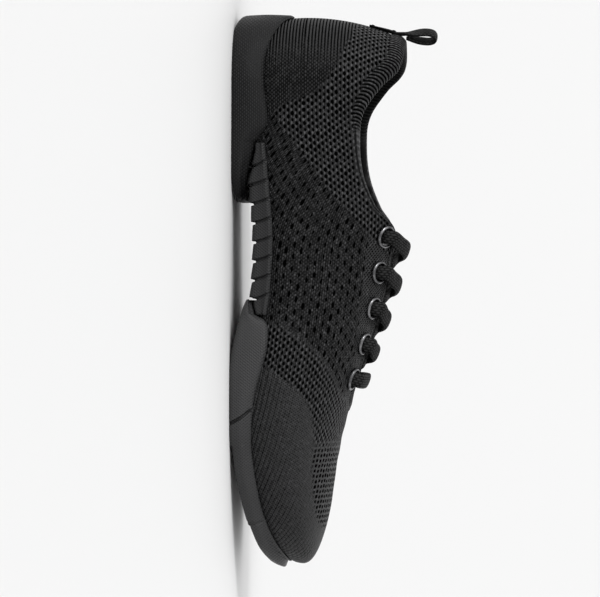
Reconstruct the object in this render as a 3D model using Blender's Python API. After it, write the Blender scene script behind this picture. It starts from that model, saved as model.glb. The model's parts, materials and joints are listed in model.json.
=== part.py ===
"""Split-sole cheer and dance sneaker, right foot, unbent and standing on its sole.

Metres, +X to the toe, +Y to the inner side of the foot, +Z up. The origin is on the floor under the
middle of the shoe. Sizes below are millimetres, and put_mesh turns them into metres.

The last is one function, last_point, worked out from the SECTIONS table. The upper's two skins, the
insole, the tongue, the rims of the soles, the eyelets and the laces are all read from it.
"""

import math
from collections import namedtuple

import bmesh
import bpy
import numpy as np
from mathutils import Matrix, Vector

MM = 0.001

# Driving sizes of the last
LENGTH = 246.0
BALL_WIDTH = 88.0
INSTEP_HEIGHT = 75.0
HEEL_HEIGHT = 76.0

# Walls and clearances
GAP = 0.3
WALL = 2.0
COLLAR_PAD = 3.2
INSOLE_THICK = 3.5
INSOLE_GAP = 0.5
TONGUE_THICK = 3.0

# Round ends of the last, as lengths along the foot
HEEL_ROUND = 31.0
TOE_ROUND = 62.0
TOE_TOP_ROUND = 30.0
TOE_ROUND_POWER = 2.15

# Turn-under of the wall at the feather edge, and lean of the heel's back
TUCK = 3.6
TUCK_ANGLE = math.radians(60)
HEEL_LEAN = 10.0
HEEL_LEAN_REACH = 95.0

# Each row is one cross section of the last. Station is a share of LENGTH from the heel's back, inner
# and outer are half widths as shares of BALL_WIDTH either side of the axis, axis and ridge are shifts
# to the inner side as shares of BALL_WIDTH, and bulge and crown are heights as shares of
# INSTEP_HEIGHT. Behind the throat the crown is the virtual top towards which the walls lean.
Section = namedtuple("Section", "station inner outer axis ridge bulge crown")
SECTIONS = (
    Section(0.00, 0.350, 0.350, 0.000, 0.000, 0.427, 1.740),
    Section(0.10, 0.352, 0.356, 0.000, 0.000, 0.422, 1.690),
    Section(0.20, 0.346, 0.366, 0.000, 0.006, 0.413, 1.500),
    Section(0.30, 0.330, 0.380, 0.000, 0.018, 0.402, 1.215),
    Section(0.40, 0.330, 0.398, 0.000, 0.034, 0.388, 1.010),
    Section(0.50, 0.354, 0.424, 0.000, 0.046, 0.364, 0.922),
    Section(0.60, 0.408, 0.476, 0.004, 0.054, 0.328, 0.808),
    Section(0.70, 0.466, 0.504, 0.010, 0.058, 0.292, 0.690),
    Section(0.80, 0.480, 0.484, 0.028, 0.060, 0.290, 0.610),
    Section(0.90, 0.450, 0.460, 0.058, 0.066, 0.325, 0.560),
    Section(1.00, 0.410, 0.450, 0.085, 0.085, 0.395, 0.545),
)

# Floor line of the foot (station share, height): lower edge of the upper and underside of the insole
FLOOR = ((0.00, 10.5), (0.18, 10.5), (0.29, 13.0), (0.40, 15.2), (0.50, 14.2), (0.57, 11.6),
         (0.63, 9.0), (0.70, 7.0), (0.77, 6.2), (0.84, 7.6), (0.91, 11.2), (0.96, 15.8), (1.00, 22.0))

# Topline of the collar (station share, share of HEEL_HEIGHT)
COLLAR = ((0.00, 1.000), (0.05, 0.975), (0.10, 0.865), (0.16, 0.762), (0.22, 0.738), (0.29, 0.768),
          (0.36, 0.860), (0.42, 0.960))
# Throat: where the collar turns into it, half of its width there and at its end, and where it ends
CORNER = 0.385
CORNER_BLEND = 0.040
THROAT_TOP_HALF = 13.5
THROAT_END_HALF = 9.0
THROAT_END = 0.710

# Eyelets: five a side along the throat, set back from its edge
EYELETS_A_SIDE = 5
EYELET_FIRST = 0.660
EYELET_LAST = 0.402
EYELET_SETBACK = 8.6
EYELET_OUTER_R = 5.2
EYELET_BARREL_R = 4.4
EYELET_INNER_R = 3.8
EYELET_FLANGE = 0.9

LACE_WIDTH = 7.2
LACE_THICK = 2.8

SOLE_LIP = 2.4
SOLE_FLARE = 4.6
HEEL_FRONT = 82.0
FOREFOOT_REAR = 126.0
BRIDGE_REAR = 57.0
BRIDGE_FRONT = 133.0
BRIDGE_RIBS = 9

LATERAL = -1
MEDIAL = 1


def smooth(t):
    t = np.clip(t, 0.0, 1.0)
    return t * t * (3 - 2 * t)


def through(rows, at):
    """Smooth curve through (place, value) rows: cubic, with the slope of a row taken from its neighbours."""
    places = [row[0] for row in rows]
    values = [row[1] for row in rows]
    last = len(rows) - 1
    i = min(max(int(np.searchsorted(places, at)) - 1, 0), last - 1)

    def slope(k):
        before = max(k - 1, 0)
        after = min(k + 1, last)
        return (values[after] - values[before]) / (places[after] - places[before])

    span = places[i + 1] - places[i]
    t = min(max((at - places[i]) / span, 0.0), 1.0)
    h = t * t * (3 - 2 * t)
    bend_in = t * (1 - t) ** 2 * span * slope(i)
    bend_out = -t * t * (1 - t) * span * slope(i + 1)
    return values[i] * (1 - h) + values[i + 1] * h + bend_in + bend_out


def column(name, share):
    return through([(row.station, getattr(row, name)) for row in SECTIONS], share)


def floor_height(u):
    return through(FLOOR, u / LENGTH)


def end_round(u):
    """Share of the full width left by the round heel and the round toe at distance u from the heel."""
    heel = 1 - min(u / HEEL_ROUND, 1.0)
    toe = max((u - (LENGTH - TOE_ROUND)) / TOE_ROUND, 0.0)
    heel_share = math.sqrt(max(1 - heel**2, 0.0))
    toe_share = max(1 - toe**TOE_ROUND_POWER, 0.0) ** (1 / TOE_ROUND_POWER)
    return heel_share * toe_share


def top_round(u):
    toe = max((u - (LENGTH - TOE_TOP_ROUND)) / TOE_TOP_ROUND, 0.0)
    return math.sqrt(max(1 - toe**2, 0.0))


def outline(u, side, inset=0.0):
    """Plan point of the last at its widest height, moved inwards by inset."""
    share = u / LENGTH
    half = column("inner" if side == MEDIAL else "outer", share) * BALL_WIDTH
    x = inset + u * (LENGTH - 2 * inset) / LENGTH
    y = column("axis", share) * BALL_WIDTH + side * (half - inset) * end_round(u)
    return np.array([x, y])


def plan_normal(u, side):
    """Outward normal of the outline in plan."""
    step = 0.02
    a = max(u - step, 0.0)
    b = min(u + step, LENGTH)
    dx, dy = outline(b, side) - outline(a, side)
    if u <= 0.0:
        return np.array([-1.0, 0.0])
    if u >= LENGTH:
        return np.array([1.0, 0.0])
    normal = np.array([-dy, dx]) * side
    return normal / np.linalg.norm(normal)


def last_point(u, side, angle, inset=0.0):
    """Point of the last at distance u from the heel, on one side, at an angle up its section.

    Angle -TUCK_ANGLE is the feather edge, 0 the widest line and 90 degrees the ridge.
    """
    share = u / LENGTH
    bulge = column("bulge", share) * INSTEP_HEIGHT
    low = floor_height(u)
    x, y = outline(u, side, inset)
    if angle < 0:
        turned = (1 - math.cos(angle)) / (1 - math.cos(TUCK_ANGLE))
        x, y = np.array([x, y]) - TUCK * turned * plan_normal(u, side)
        z = bulge + (bulge - low) * math.sin(angle) / math.sin(TUCK_ANGLE)
    else:
        crown = (column("crown", share) * INSTEP_HEIGHT - inset - bulge) * top_round(u)
        ridge = column("ridge", share) * BALL_WIDTH
        y = ridge + (y - ridge) * math.cos(angle)
        z = bulge + crown * math.sin(angle)
        lean = HEEL_LEAN * ((z - bulge) / (HEEL_HEIGHT - bulge)) ** 2
        x += lean * (1 - smooth(u / HEEL_LEAN_REACH))
    return np.array([x, y, z])


def angle_at_height(u, z, inset=0.0):
    """Angle at which the section reaches height z."""
    share = u / LENGTH
    bulge = column("bulge", share) * INSTEP_HEIGHT
    low = floor_height(u)
    if z <= bulge:
        sine = max((z - bulge) / (bulge - low), -1.0) * math.sin(TUCK_ANGLE)
        return math.asin(sine)
    crown = (column("crown", share) * INSTEP_HEIGHT - inset - bulge) * top_round(u)
    return math.asin(min((z - bulge) / crown, 1.0))


def throat_half(u):
    """Half width of the throat at u: it narrows evenly and ends in a half round."""
    start = CORNER * LENGTH
    end = THROAT_END * LENGTH
    round_start = end - THROAT_END_HALF
    t = (u - start) / (round_start - start)
    half = THROAT_TOP_HALF + (THROAT_END_HALF - THROAT_TOP_HALF) * min(t, 1.0)
    into_round = min(max((u - round_start) / THROAT_END_HALF, 0.0), 1.0)
    return half * math.sqrt(1 - into_round**2)


def edge_angle(u, side, back=0.0):
    """Angle at which the wall stops at the collar or throat, or back millimetres short of the throat."""
    if u >= THROAT_END * LENGTH and back == 0.0:
        return math.pi / 2
    share = u / LENGTH
    collar = through(COLLAR, share) * HEEL_HEIGHT
    at_collar = angle_at_height(u, collar)
    ridge = column("ridge", share) * BALL_WIDTH
    half = abs(outline(u, side)[1] - ridge)
    at_throat = math.acos(min((throat_half(u) + back) / max(half, 0.01), 1.0))
    mix = smooth((share - CORNER + CORNER_BLEND) / (2 * CORNER_BLEND))
    return at_collar + (at_throat - at_collar) * mix


def surface_normal(u, side, angle):
    """Outward normal of the last, from two short steps along it."""
    step_u = 0.05
    step_angle = 0.002
    along = last_point(u + step_u, side, angle) - last_point(u - step_u, side, angle)
    up = last_point(u, side, angle + step_angle) - last_point(u, side, angle - step_angle)
    normal = np.cross(along, up) * -side
    return normal / np.linalg.norm(normal)


def wall_thickness(u, rise):
    """Knit wall, swelling into the padded collar round the heel. Rise runs 0 to 1 from floor to edge."""
    behind = 1 - smooth((u / LENGTH - 0.20) / 0.16)
    return WALL + COLLAR_PAD * behind * smooth((rise - 0.35) / 0.45)


def stations_between(start, end, step):
    count = max(int(round((end - start) / step)), 1)
    return [start + (end - start) * k / count for k in range(count + 1)]


def last_stations():
    """Stations along the whole last, closer together at the round ends and at the throat's end."""
    heel_steps = 7
    toe_steps = 9
    heel = [HEEL_ROUND * (1 - math.cos(math.pi / 2 * k / heel_steps)) for k in range(heel_steps)]
    toe_start = LENGTH - TOE_TOP_ROUND
    toe = [toe_start + TOE_TOP_ROUND * math.sin(math.pi / 2 * k / toe_steps) for k in range(toe_steps + 1)]
    end = THROAT_END * LENGTH
    near_end = [end - THROAT_END_HALF * (1 - math.sin(math.pi / 2 * k / 4)) for k in range(5)]
    corner = CORNER * LENGTH
    before = stations_between(HEEL_ROUND, corner - 10, 7.6)[:-1]
    before += stations_between(corner - 10, corner + 8, 4.5)[:-1]
    before += stations_between(corner + 8, near_end[0], 8.0)[:-1]
    after = stations_between(end, toe_start, 6.0)[1:-1]
    return heel + before + near_end + after + toe


def put_mesh(name, points, faces, material):
    """One object from points in millimetres. Coincident points are welded and faces made to point out."""
    mesh = bpy.data.meshes.new(name)
    mesh.from_pydata([tuple(float(c) * MM for c in p) for p in points], [], faces)
    bm = bmesh.new()
    bm.from_mesh(mesh)
    bmesh.ops.remove_doubles(bm, verts=bm.verts, dist=0.002 * MM)
    bmesh.ops.dissolve_degenerate(bm, edges=bm.edges, dist=0.002 * MM)
    bmesh.ops.recalc_face_normals(bm, faces=bm.faces)
    bm.to_mesh(mesh)
    bm.free()
    mesh.materials.append(material)
    mesh.shade_smooth()
    mesh.set_sharp_from_angle(angle=math.radians(40))
    obj = bpy.data.objects.new(name, mesh)
    bpy.context.scene.collection.objects.link(obj)
    return obj


def make_material(name, colour, roughness, metallic=0.0):
    material = bpy.data.materials.new(name)
    material.use_nodes = True
    shader = material.node_tree.nodes["Principled BSDF"]
    shader.inputs["Base Color"].default_value = (*colour, 1.0)
    shader.inputs["Roughness"].default_value = roughness
    shader.inputs["Metallic"].default_value = metallic
    return material


def apply_boolean(obj, cutters, operation):
    """Joins or cuts obj with each cutter, keeps the result as its mesh and removes the cutters."""
    for cutter in cutters:
        modifier = obj.modifiers.new(cutter.name, "BOOLEAN")
        modifier.operation = operation
        modifier.object = cutter
    graph = bpy.context.evaluated_depsgraph_get()
    graph.update()
    made = bpy.data.meshes.new_from_object(obj.evaluated_get(graph))
    obj.modifiers.clear()
    obj.data = made
    for cutter in cutters:
        bpy.data.objects.remove(cutter)
    return obj


# Upper


def upper_column(u, side, rows, inner):
    """Points of one column of the wall, from the feather edge up to the collar, throat or ridge."""
    top = edge_angle(u, side)
    points = []
    for k in range(rows + 1):
        rise = k / rows
        angle = -TUCK_ANGLE + (top + TUCK_ANGLE) * rise
        inset = wall_thickness(u, rise) if inner else 0.0
        points.append(last_point(u, side, angle, inset))
    return points


def build_upper(material):
    """Hollow wall: outer and inner skin joined along the feather edge and along collar and throat."""
    rows = 10
    us = last_stations()
    closed_from = THROAT_END * LENGTH - 1e-6
    points = []
    faces = []
    index = {}
    for inner in (False, True):
        for side in (LATERAL, MEDIAL):
            for i, u in enumerate(us):
                for j, point in enumerate(upper_column(u, side, rows, inner)):
                    index[inner, side, i, j] = len(points)
                    points.append(point)
    for inner in (False, True):
        for side in (LATERAL, MEDIAL):
            for i in range(len(us) - 1):
                for j in range(rows):
                    corners = ((i, j), (i + 1, j), (i + 1, j + 1), (i, j + 1))
                    faces.append([index[inner, side, a, b] for a, b in corners])
    for side in (LATERAL, MEDIAL):
        for i in range(len(us) - 1):
            ends = [0]
            if us[i + 1] <= closed_from + 2e-6:
                ends.append(rows)
            for j in ends:
                faces.append([index[False, side, i, j], index[False, side, i + 1, j],
                              index[True, side, i + 1, j], index[True, side, i, j]])
    return put_mesh("upper", points, faces, material)


def eyelet_places():
    """(name, station, side, angle) of each eyelet, from the toe end up."""
    places = []
    for k in range(EYELETS_A_SIDE):
        share = EYELET_FIRST + (EYELET_LAST - EYELET_FIRST) * k / (EYELETS_A_SIDE - 1)
        for side, word in ((LATERAL, "outer"), (MEDIAL, "inner")):
            u = share * LENGTH
            places.append((f"eyelet_{word}_{k + 1}", u, side, edge_angle(u, side, EYELET_SETBACK)))
    return places


def turned_ring(name, profile, centre, axis, segments, material):
    """Ring turned from (radius, height) profile points about an axis through centre."""
    turn = Vector((0, 0, 1)).rotation_difference(Vector(axis)).to_matrix()
    points = []
    for k in range(segments):
        angle = 2 * math.pi * k / segments
        for radius, height in profile:
            spoke = turn @ Vector((radius * math.cos(angle), radius * math.sin(angle), height))
            points.append(np.array(centre) + np.array(spoke))
    count = len(profile)
    faces = []
    for k in range(segments):
        after = (k + 1) % segments
        for m in range(count):
            n = (m + 1) % count
            faces.append([k * count + m, after * count + m, after * count + n, k * count + n])
    return put_mesh(name, points, faces, material)


def build_eyelets(material):
    """Metal eyelets: a rounded flange on the wall and a barrel through it."""
    seat = GAP + 0.12
    flange_top = seat + EYELET_FLANGE
    profile = (
        (EYELET_INNER_R, GAP - WALL),
        (EYELET_BARREL_R, GAP - WALL),
        (EYELET_BARREL_R, seat),
        (EYELET_OUTER_R, seat),
        ((EYELET_OUTER_R + EYELET_INNER_R) / 2, flange_top),
        (EYELET_INNER_R, seat + 0.45 * EYELET_FLANGE),
    )
    for name, u, side, angle in eyelet_places():
        turned_ring(name, profile, last_point(u, side, angle), surface_normal(u, side, angle), 12, material)


def cut_eyelet_holes(upper, material):
    """Cuts a clear hole through the wall at each eyelet."""
    cutters = []
    reach = 3 * WALL
    for name, u, side, angle in eyelet_places():
        bm = bmesh.new()
        radius = (EYELET_BARREL_R + GAP) * MM
        bmesh.ops.create_cone(bm, cap_ends=True, segments=12, radius1=radius, radius2=radius,
                              depth=2 * reach * MM)
        turn = Vector((0, 0, 1)).rotation_difference(Vector(surface_normal(u, side, angle)))
        centre = Vector(last_point(u, side, angle) * MM)
        bmesh.ops.transform(bm, matrix=Matrix.Translation(centre) @ turn.to_matrix().to_4x4(), verts=bm.verts)
        mesh = bpy.data.meshes.new(f"cut_{name}")
        bm.to_mesh(mesh)
        bm.free()
        mesh.materials.append(material)
        cutter = bpy.data.objects.new(f"cut_{name}", mesh)
        bpy.context.scene.collection.objects.link(cutter)
        cutters.append(cutter)
    return apply_boolean(upper, cutters, "DIFFERENCE")


# Insole and tongue


def build_plate(name, us, rings, material):
    """Closed solid from rings that run along both sides of the foot at the stations us.

    A ring is a function of (u, side). The first and last ring are capped across the foot. At the very end
    of the last the two sides meet in one point; any other end is closed with one flat face.
    """
    points = []
    faces = []
    count = len(us)
    size = 2 * count
    for ring in rings:
        points.extend(ring(u, LATERAL) for u in us)
        points.extend(ring(u, MEDIAL) for u in us)
    for r in range(len(rings) - 1):
        for start in (r * size, r * size + count):
            for i in range(count - 1):
                a = start + i
                faces.append([a, a + 1, a + size + 1, a + size])
    for start in (0, (len(rings) - 1) * size):
        for i in range(count - 1):
            faces.append([start + i, start + i + 1, start + count + i + 1, start + count + i])
    for i, closed in ((0, us[0] > 0), (count - 1, us[-1] < LENGTH)):
        if closed:
            profile = [r * size + i for r in range(len(rings))]
            profile += [r * size + count + i for r in reversed(range(len(rings)))]
            for k in profile:
                points[k][0] = points[profile[0]][0]
            faces.append(profile)
    return put_mesh(name, points, faces, material)


def insole_ring(rise, pull_in):
    def ring(u, side):
        low = floor_height(u)
        point = last_point(u, side, angle_at_height(u, low + rise), WALL + INSOLE_GAP + pull_in)
        point[2] = low + rise
        return point

    return ring


def build_insole(material):
    edge = 0.8
    rings = [
        insole_ring(0.0, 0.0),
        insole_ring(INSOLE_THICK - edge, 0.0),
        insole_ring(INSOLE_THICK, edge),
        insole_ring(INSOLE_THICK - edge, 9.0),
    ]
    us = last_stations()
    ends = (HEEL_ROUND, LENGTH - TOE_ROUND)
    us = [u for k, u in enumerate(us) if k % 2 == 0 or not ends[0] < u < ends[1]]
    return build_plate("insole", us, rings, material)


TONGUE_TOP = 0.362
TONGUE_END = 0.735
TONGUE_OVERLAP = 11.0
TONGUE_GAP = 0.8


def tongue_angle(u, side):
    """Angle of the tongue's side edge: under the eyestay by TONGUE_OVERLAP."""
    inside_throat = min(u, THROAT_END * LENGTH - THROAT_END_HALF)
    half = throat_half(max(inside_throat, CORNER * LENGTH)) + TONGUE_OVERLAP
    ridge = column("ridge", u / LENGTH) * BALL_WIDTH
    return math.acos(min(half / abs(outline(u, side)[1] - ridge), 1.0))


def build_tongue(material):
    """Padded strip under the throat: the last's own section, set in under the wall."""
    across = 6
    us = stations_between(TONGUE_TOP * LENGTH, TONGUE_END * LENGTH, 6.2)
    points = []
    for depth in (WALL + TONGUE_GAP, WALL + TONGUE_GAP + TONGUE_THICK):
        for u in us:
            low_lateral = tongue_angle(u, LATERAL)
            low_medial = tongue_angle(u, MEDIAL)
            for k in range(across + 1):
                t = k / across
                if t <= 0.5:
                    angle = low_lateral + (math.pi / 2 - low_lateral) * t * 2
                    points.append(last_point(u, LATERAL, angle, depth))
                else:
                    angle = low_medial + (math.pi / 2 - low_medial) * (1 - t) * 2
                    points.append(last_point(u, MEDIAL, angle, depth))
    width = across + 1
    layer = width * len(us)
    faces = []
    for base in (0, layer):
        for i in range(len(us) - 1):
            for k in range(across):
                a = base + i * width + k
                faces.append([a, a + 1, a + width + 1, a + width])
    rim = [k for k in range(width)]
    rim += [i * width + across for i in range(1, len(us))]
    rim += [layer - width + k for k in reversed(range(across))]
    rim += [i * width for i in reversed(range(1, len(us) - 1))]
    for k, a in enumerate(rim):
        b = rim[(k + 1) % len(rim)]
        faces.append([a, b, b + layer, a + layer])
    return put_mesh("tongue", points, faces, material)


# Soles: rows of (distance from the heel, height)


HEEL_RIM = ((0, 26.0), (2, 22.0), (9, 17.5), (20, 14.6), (32, 14.6), (44, 16.0), (50, 15.6), (54, 13.0),
            (58, 10.5))
HEEL_BED_FRONT = ((54, 1.0), (64, 0.42), (72, 0.08), (82, 0.0))
HEEL_BOTTOM = ((-2, 3.6), (2, 1.4), (7, 0.0), (40, 0.0), (70, 0.0), (82, 1.4))
HEEL_NOSE_TOP = 6.4
HEEL_NOSE_ROUND = 14.0
FORE_REAR_ROUND = 6.5

FORE_RIM = ((133, 11.6), (136, 15.4), (140, 17.0), (150, 16.4), (158, 14.2), (166, 12.0), (176, 10.4),
            (190, 9.6), (200, 10.2), (212, 11.8), (224, 14.2), (236, 18.4), (246, 24.2))
FORE_BOTTOM = ((126, 7.0), (136, 4.0), (148, 1.3), (158, 0.0), (174, 0.0), (188, 0.0), (196, 0.8),
               (207, 2.6), (224, 6.0), (236, 10.2), (243, 14.8), (246, 18.6))
FORE_WEDGE_TOP = 9.3
FORE_WEDGE_END = 140.0

# Cuts round the forefoot's side (distance from the heel at the rim, depth, width), and how far forward
# they slant on the way down
SIDE_CUTS = ((176.0, 1.8, 1.5), (226.0, 0.5, 1.2))
CUT_SLANT = 6.0
# Steps in the forefoot's underside (distance from the heel, height)
BOTTOM_STEPS = ((191.0, 0.7), (227.0, 0.6))


def skin_point(u, side, z, offset):
    """Point off the upper's wall at height z; under the foot bed it stays at the feather edge."""
    point = last_point(u, side, angle_at_height(u, z))
    outwards = plan_normal(u, side)
    point[:2] += outwards * offset
    point[2] = z
    return point


def corner_round(distance, radius):
    """How far the side draws in at a distance from an end whose corners have a radius in plan."""
    left = max(radius - distance, 0.0)
    return radius - math.sqrt(radius**2 - left**2)


def sole_rings(top, rim, bottom, draw_in, cut=lambda u: 0.0, shift=lambda u, level: 0.0,
               flare=SOLE_FLARE):
    """Rings of a cup-like sole from its foot bed over the rim and down the side to the underside.

    Draw_in rounds its ends in plan, cut sinks grooves into its outside and shift slants the outside
    forward. Level runs from 0 at the rim to 1 at the underside.
    """

    def lip(level, offset, drop=0.0, depth=0.0):
        def ring(u, side):
            z = top(u) + (rim(u) - top(u)) * level - drop
            return skin_point(u, side, z, offset - draw_in(u) - depth * cut(u))

        return ring

    def side_wall(level, offset):
        def ring(u, side):
            point = skin_point(u, side, floor_height(u), offset - draw_in(u) - cut(u))
            point[2] = rim(u) + (bottom(u) - rim(u)) * level
            point[0] += shift(u, level)
            return point

        return ring

    return [
        lip(0.0, GAP),
        lip(0.5, GAP),
        lip(1.0, GAP),
        lip(1.0, GAP + 0.75 * SOLE_LIP, 0.02, 0.5),
        lip(1.0, GAP + SOLE_LIP, 0.7, 1.0),
        side_wall(0.5, flare + 0.5),
        side_wall(0.86, flare + 0.2),
        side_wall(1.0, flare - 1.5),
    ]


def heel_bed(u):
    bed = floor_height(u) - GAP
    share = through(HEEL_BED_FRONT, u)
    return HEEL_NOSE_TOP + (bed - HEEL_NOSE_TOP) * share


def heel_rim(u):
    """Lip of the heel cup; under the bridge there is none."""
    if u >= BRIDGE_REAR - GAP:
        return heel_bed(u)
    return max(through(HEEL_RIM, u), heel_bed(u))


def heel_bottom(u):
    return max(through(HEEL_BOTTOM, u), 0.0)


def heel_draw_in(u):
    return corner_round(HEEL_FRONT - u, HEEL_NOSE_ROUND)


def heel_stations():
    round_part = [u for u in last_stations() if u < HEEL_ROUND]
    body = stations_between(HEEL_ROUND, 50.0, 6.0) + [53.0, 55.0]
    nose = HEEL_FRONT - HEEL_NOSE_ROUND
    under_bridge = stations_between(BRIDGE_REAR - GAP, nose, 5.0)[:-1]
    steps = 5
    rounded = [nose + HEEL_NOSE_ROUND * math.sin(math.pi / 2 * k / steps) for k in range(steps + 1)]
    return round_part + body + under_bridge + rounded


def ring_groove(name, centre, half_length, half_width, cut_width, cut_depth, material):
    """Cutter for an oval groove in a flat underside at height 0."""
    segments = 28
    below = 1.0
    points = []
    for height in (-below, cut_depth):
        for grow in (-cut_width / 2, cut_width / 2):
            for k in range(segments):
                angle = 2 * math.pi * k / segments
                x = centre[0] + (half_length + grow) * math.cos(angle)
                y = centre[1] + (half_width + grow) * math.sin(angle)
                points.append((x, y, height))
    low_in, low_out, high_in, high_out = (segments * k for k in range(4))
    faces = []
    for k in range(segments):
        n = (k + 1) % segments
        for a, b in ((low_in, low_out), (low_out, high_out), (high_out, high_in), (high_in, low_in)):
            faces.append([a + k, a + n, b + n, b + k])
    return put_mesh(name, points, faces, material)


HEEL_PAD = {"centre": (38.0, -0.5), "half_length": 24.0, "half_width": 17.0}
PIVOT = {"centre": (172.0, 1.0), "half_length": 15.0, "half_width": 19.0}
GROOVE_WIDTH = 1.8
GROOVE_DEPTH = 1.2


def build_heel_sole(material):
    """Rubber cup under the heel: high lip at the back, blunt nose under the bridge."""
    rings = sole_rings(heel_bed, heel_rim, heel_bottom, heel_draw_in)
    sole = build_plate("heel_sole", heel_stations(), rings, material)
    cutter = ring_groove("heel_groove", cut_width=GROOVE_WIDTH, cut_depth=GROOVE_DEPTH, material=material,
                         **HEEL_PAD)
    return apply_boolean(sole, [cutter], "DIFFERENCE")


def fore_bed(u):
    bed = floor_height(u) - GAP
    down = 1 - smooth((u - FOREFOOT_REAR) / (FORE_WEDGE_END - FOREFOOT_REAR))
    return bed + (FORE_WEDGE_TOP - bed) * down


def fore_rim(u):
    """Rim of the forefoot; under the bridge there is none."""
    if u <= BRIDGE_FRONT + GAP:
        return fore_bed(u)
    return max(through(FORE_RIM, u), fore_bed(u))


def fore_bottom(u):
    height = max(through(FORE_BOTTOM, u), 0.0)
    for place, step in BOTTOM_STEPS:
        height += step * (1 if u > place else 0) * (1 - smooth((u - place) / 14))
    return height


def cut_depth(u):
    for place, depth, width in SIDE_CUTS:
        if abs(u - place) < width / 2:
            return depth
    return 0.0


def cut_shift(u, level):
    """Forward slant of the side near a cut, growing towards the underside."""
    place = SIDE_CUTS[0][0]
    near = max(1 - abs(u - place) / 18.0, 0.0)
    return CUT_SLANT * level * smooth(near)


def fore_draw_in(u):
    return corner_round(u - FOREFOOT_REAR, FORE_REAR_ROUND)


def fore_stations():
    edge = 0.3
    us = [u for u in last_stations() if u > FORE_WEDGE_END + 3]
    steps = 4
    turns = [math.pi / 2 * k / steps for k in range(steps + 1)]
    us += [FOREFOOT_REAR + FORE_REAR_ROUND * (1 - math.cos(turn)) for turn in turns]
    us += [BRIDGE_FRONT + GAP, 135.0, 137.0, FORE_WEDGE_END]
    for place, _, width in SIDE_CUTS:
        half = width / 2
        us = [u for u in us if abs(u - place) > half + 1.2]
        us += [place - half - edge, place - half + edge, place + half - edge, place + half + edge]
    for place, _ in BOTTOM_STEPS:
        us = [u for u in us if abs(u - place) > 1.0]
        us += [place, place + 0.5]
    return sorted(us)


def build_forefoot_sole(material):
    """Rubber pod under ball and toes: rear wedge, side cuts, stepped underside and toe spring."""
    rings = sole_rings(fore_bed, fore_rim, fore_bottom, fore_draw_in, cut_depth, cut_shift)
    sole = build_plate("forefoot_sole", fore_stations(), rings, material)
    cutter = ring_groove("pivot_groove", cut_width=GROOVE_WIDTH, cut_depth=GROOVE_DEPTH, material=material,
                         **PIVOT)
    return apply_boolean(sole, [cutter], "DIFFERENCE")


BRIDGE_THICK = 6.0
BRIDGE_LIP = 3.4
BRIDGE_FLARE = 2.6
RIB_CUT_DEPTH = 2.0
RIB_CUT_WIDTH = 1.4
RIB_CUT_EDGE = 0.25


def bridge_bottom(u):
    """Underside of the bridge: free in the arch, lying on the two pods at its ends."""
    free = floor_height(u) - BRIDGE_THICK
    on_heel = heel_bed(u) + GAP if u <= HEEL_FRONT else -1.0
    on_fore = fore_bed(u) + GAP if u >= FOREFOOT_REAR - GAP else -1.0
    return max(free, on_heel, on_fore)


def rib_places():
    pitch = (BRIDGE_FRONT - BRIDGE_REAR) / BRIDGE_RIBS
    return [BRIDGE_REAR + pitch * k for k in range(1, BRIDGE_RIBS)]


def rib_cut(u):
    return RIB_CUT_DEPTH if any(abs(u - p) < RIB_CUT_WIDTH / 2 for p in rib_places()) else 0.0


def bridge_stations():
    clear_of_pod = FOREFOOT_REAR - GAP
    us = [BRIDGE_REAR, clear_of_pod - 0.2, clear_of_pod, BRIDGE_FRONT]
    us += [u for u in heel_stations() + fore_stations() if BRIDGE_REAR + 1 < u < BRIDGE_FRONT - 1]
    for place in rib_places():
        half = RIB_CUT_WIDTH / 2
        us = [u for u in us if abs(u - place) > half + 2 * RIB_CUT_EDGE]
        us += [place - half - RIB_CUT_EDGE, place - half + RIB_CUT_EDGE]
        us += [place + half - RIB_CUT_EDGE, place + half + RIB_CUT_EDGE]
    return sorted(us)


def bridge_bed(u):
    return floor_height(u) - GAP


def bridge_rim(u):
    return floor_height(u) + BRIDGE_LIP


def build_arch_bridge(material):
    """Ribbed bridge: narrow cuts run round its sides and underside between the ribs."""

    def underside(u):
        room = bridge_bed(u) - bridge_bottom(u) - 1.0
        return bridge_bottom(u) + min(rib_cut(u), max(room, 0.0))

    def side_cut(u):
        return 0.6 * rib_cut(u)

    rings = sole_rings(bridge_bed, bridge_rim, underside, lambda u: 0.0, side_cut, flare=BRIDGE_FLARE)
    bed, _, lip, _, *side = rings
    return build_plate("arch_bridge", bridge_stations(), [bed, lip, *side], material)


# Lace and pull loop


def sweep(name, path, normals, width, thick, sides, material):
    """Strip with an oval section along a path; normals give the direction of its thickness."""
    points = []
    count = len(path)
    for i, centre in enumerate(path):
        before = path[max(i - 1, 0)]
        after = path[min(i + 1, count - 1)]
        along = (after - before) / np.linalg.norm(after - before)
        up = normals[i] - along * np.dot(normals[i], along)
        up /= np.linalg.norm(up)
        across = np.cross(along, up)
        for k in range(sides):
            angle = 2 * math.pi * k / sides
            c = math.cos(angle)
            s = math.sin(angle)
            flat = math.copysign(abs(c) ** 0.7, c) * width / 2
            high = math.copysign(abs(s) ** 0.7, s) * thick / 2
            points.append(centre + across * flat + up * high)
    faces = []
    for i in range(count - 1):
        for k in range(sides):
            n = (k + 1) % sides
            faces.append([i * sides + k, i * sides + n, (i + 1) * sides + n, (i + 1) * sides + k])
    faces.append(list(range(sides)))
    faces.append([(count - 1) * sides + k for k in range(sides)])
    return put_mesh(name, points, faces, material)


LACE_SEAT = 1.9
LACE_ON_TONGUE = -2.3
LACE_OVER = 1.1
LACE_SHORT = 4.0
BAR_CLEAR = 7.0


def lace_station(k):
    return (EYELET_FIRST + (EYELET_LAST - EYELET_FIRST) * k / (EYELETS_A_SIDE - 1)) * LENGTH


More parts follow.
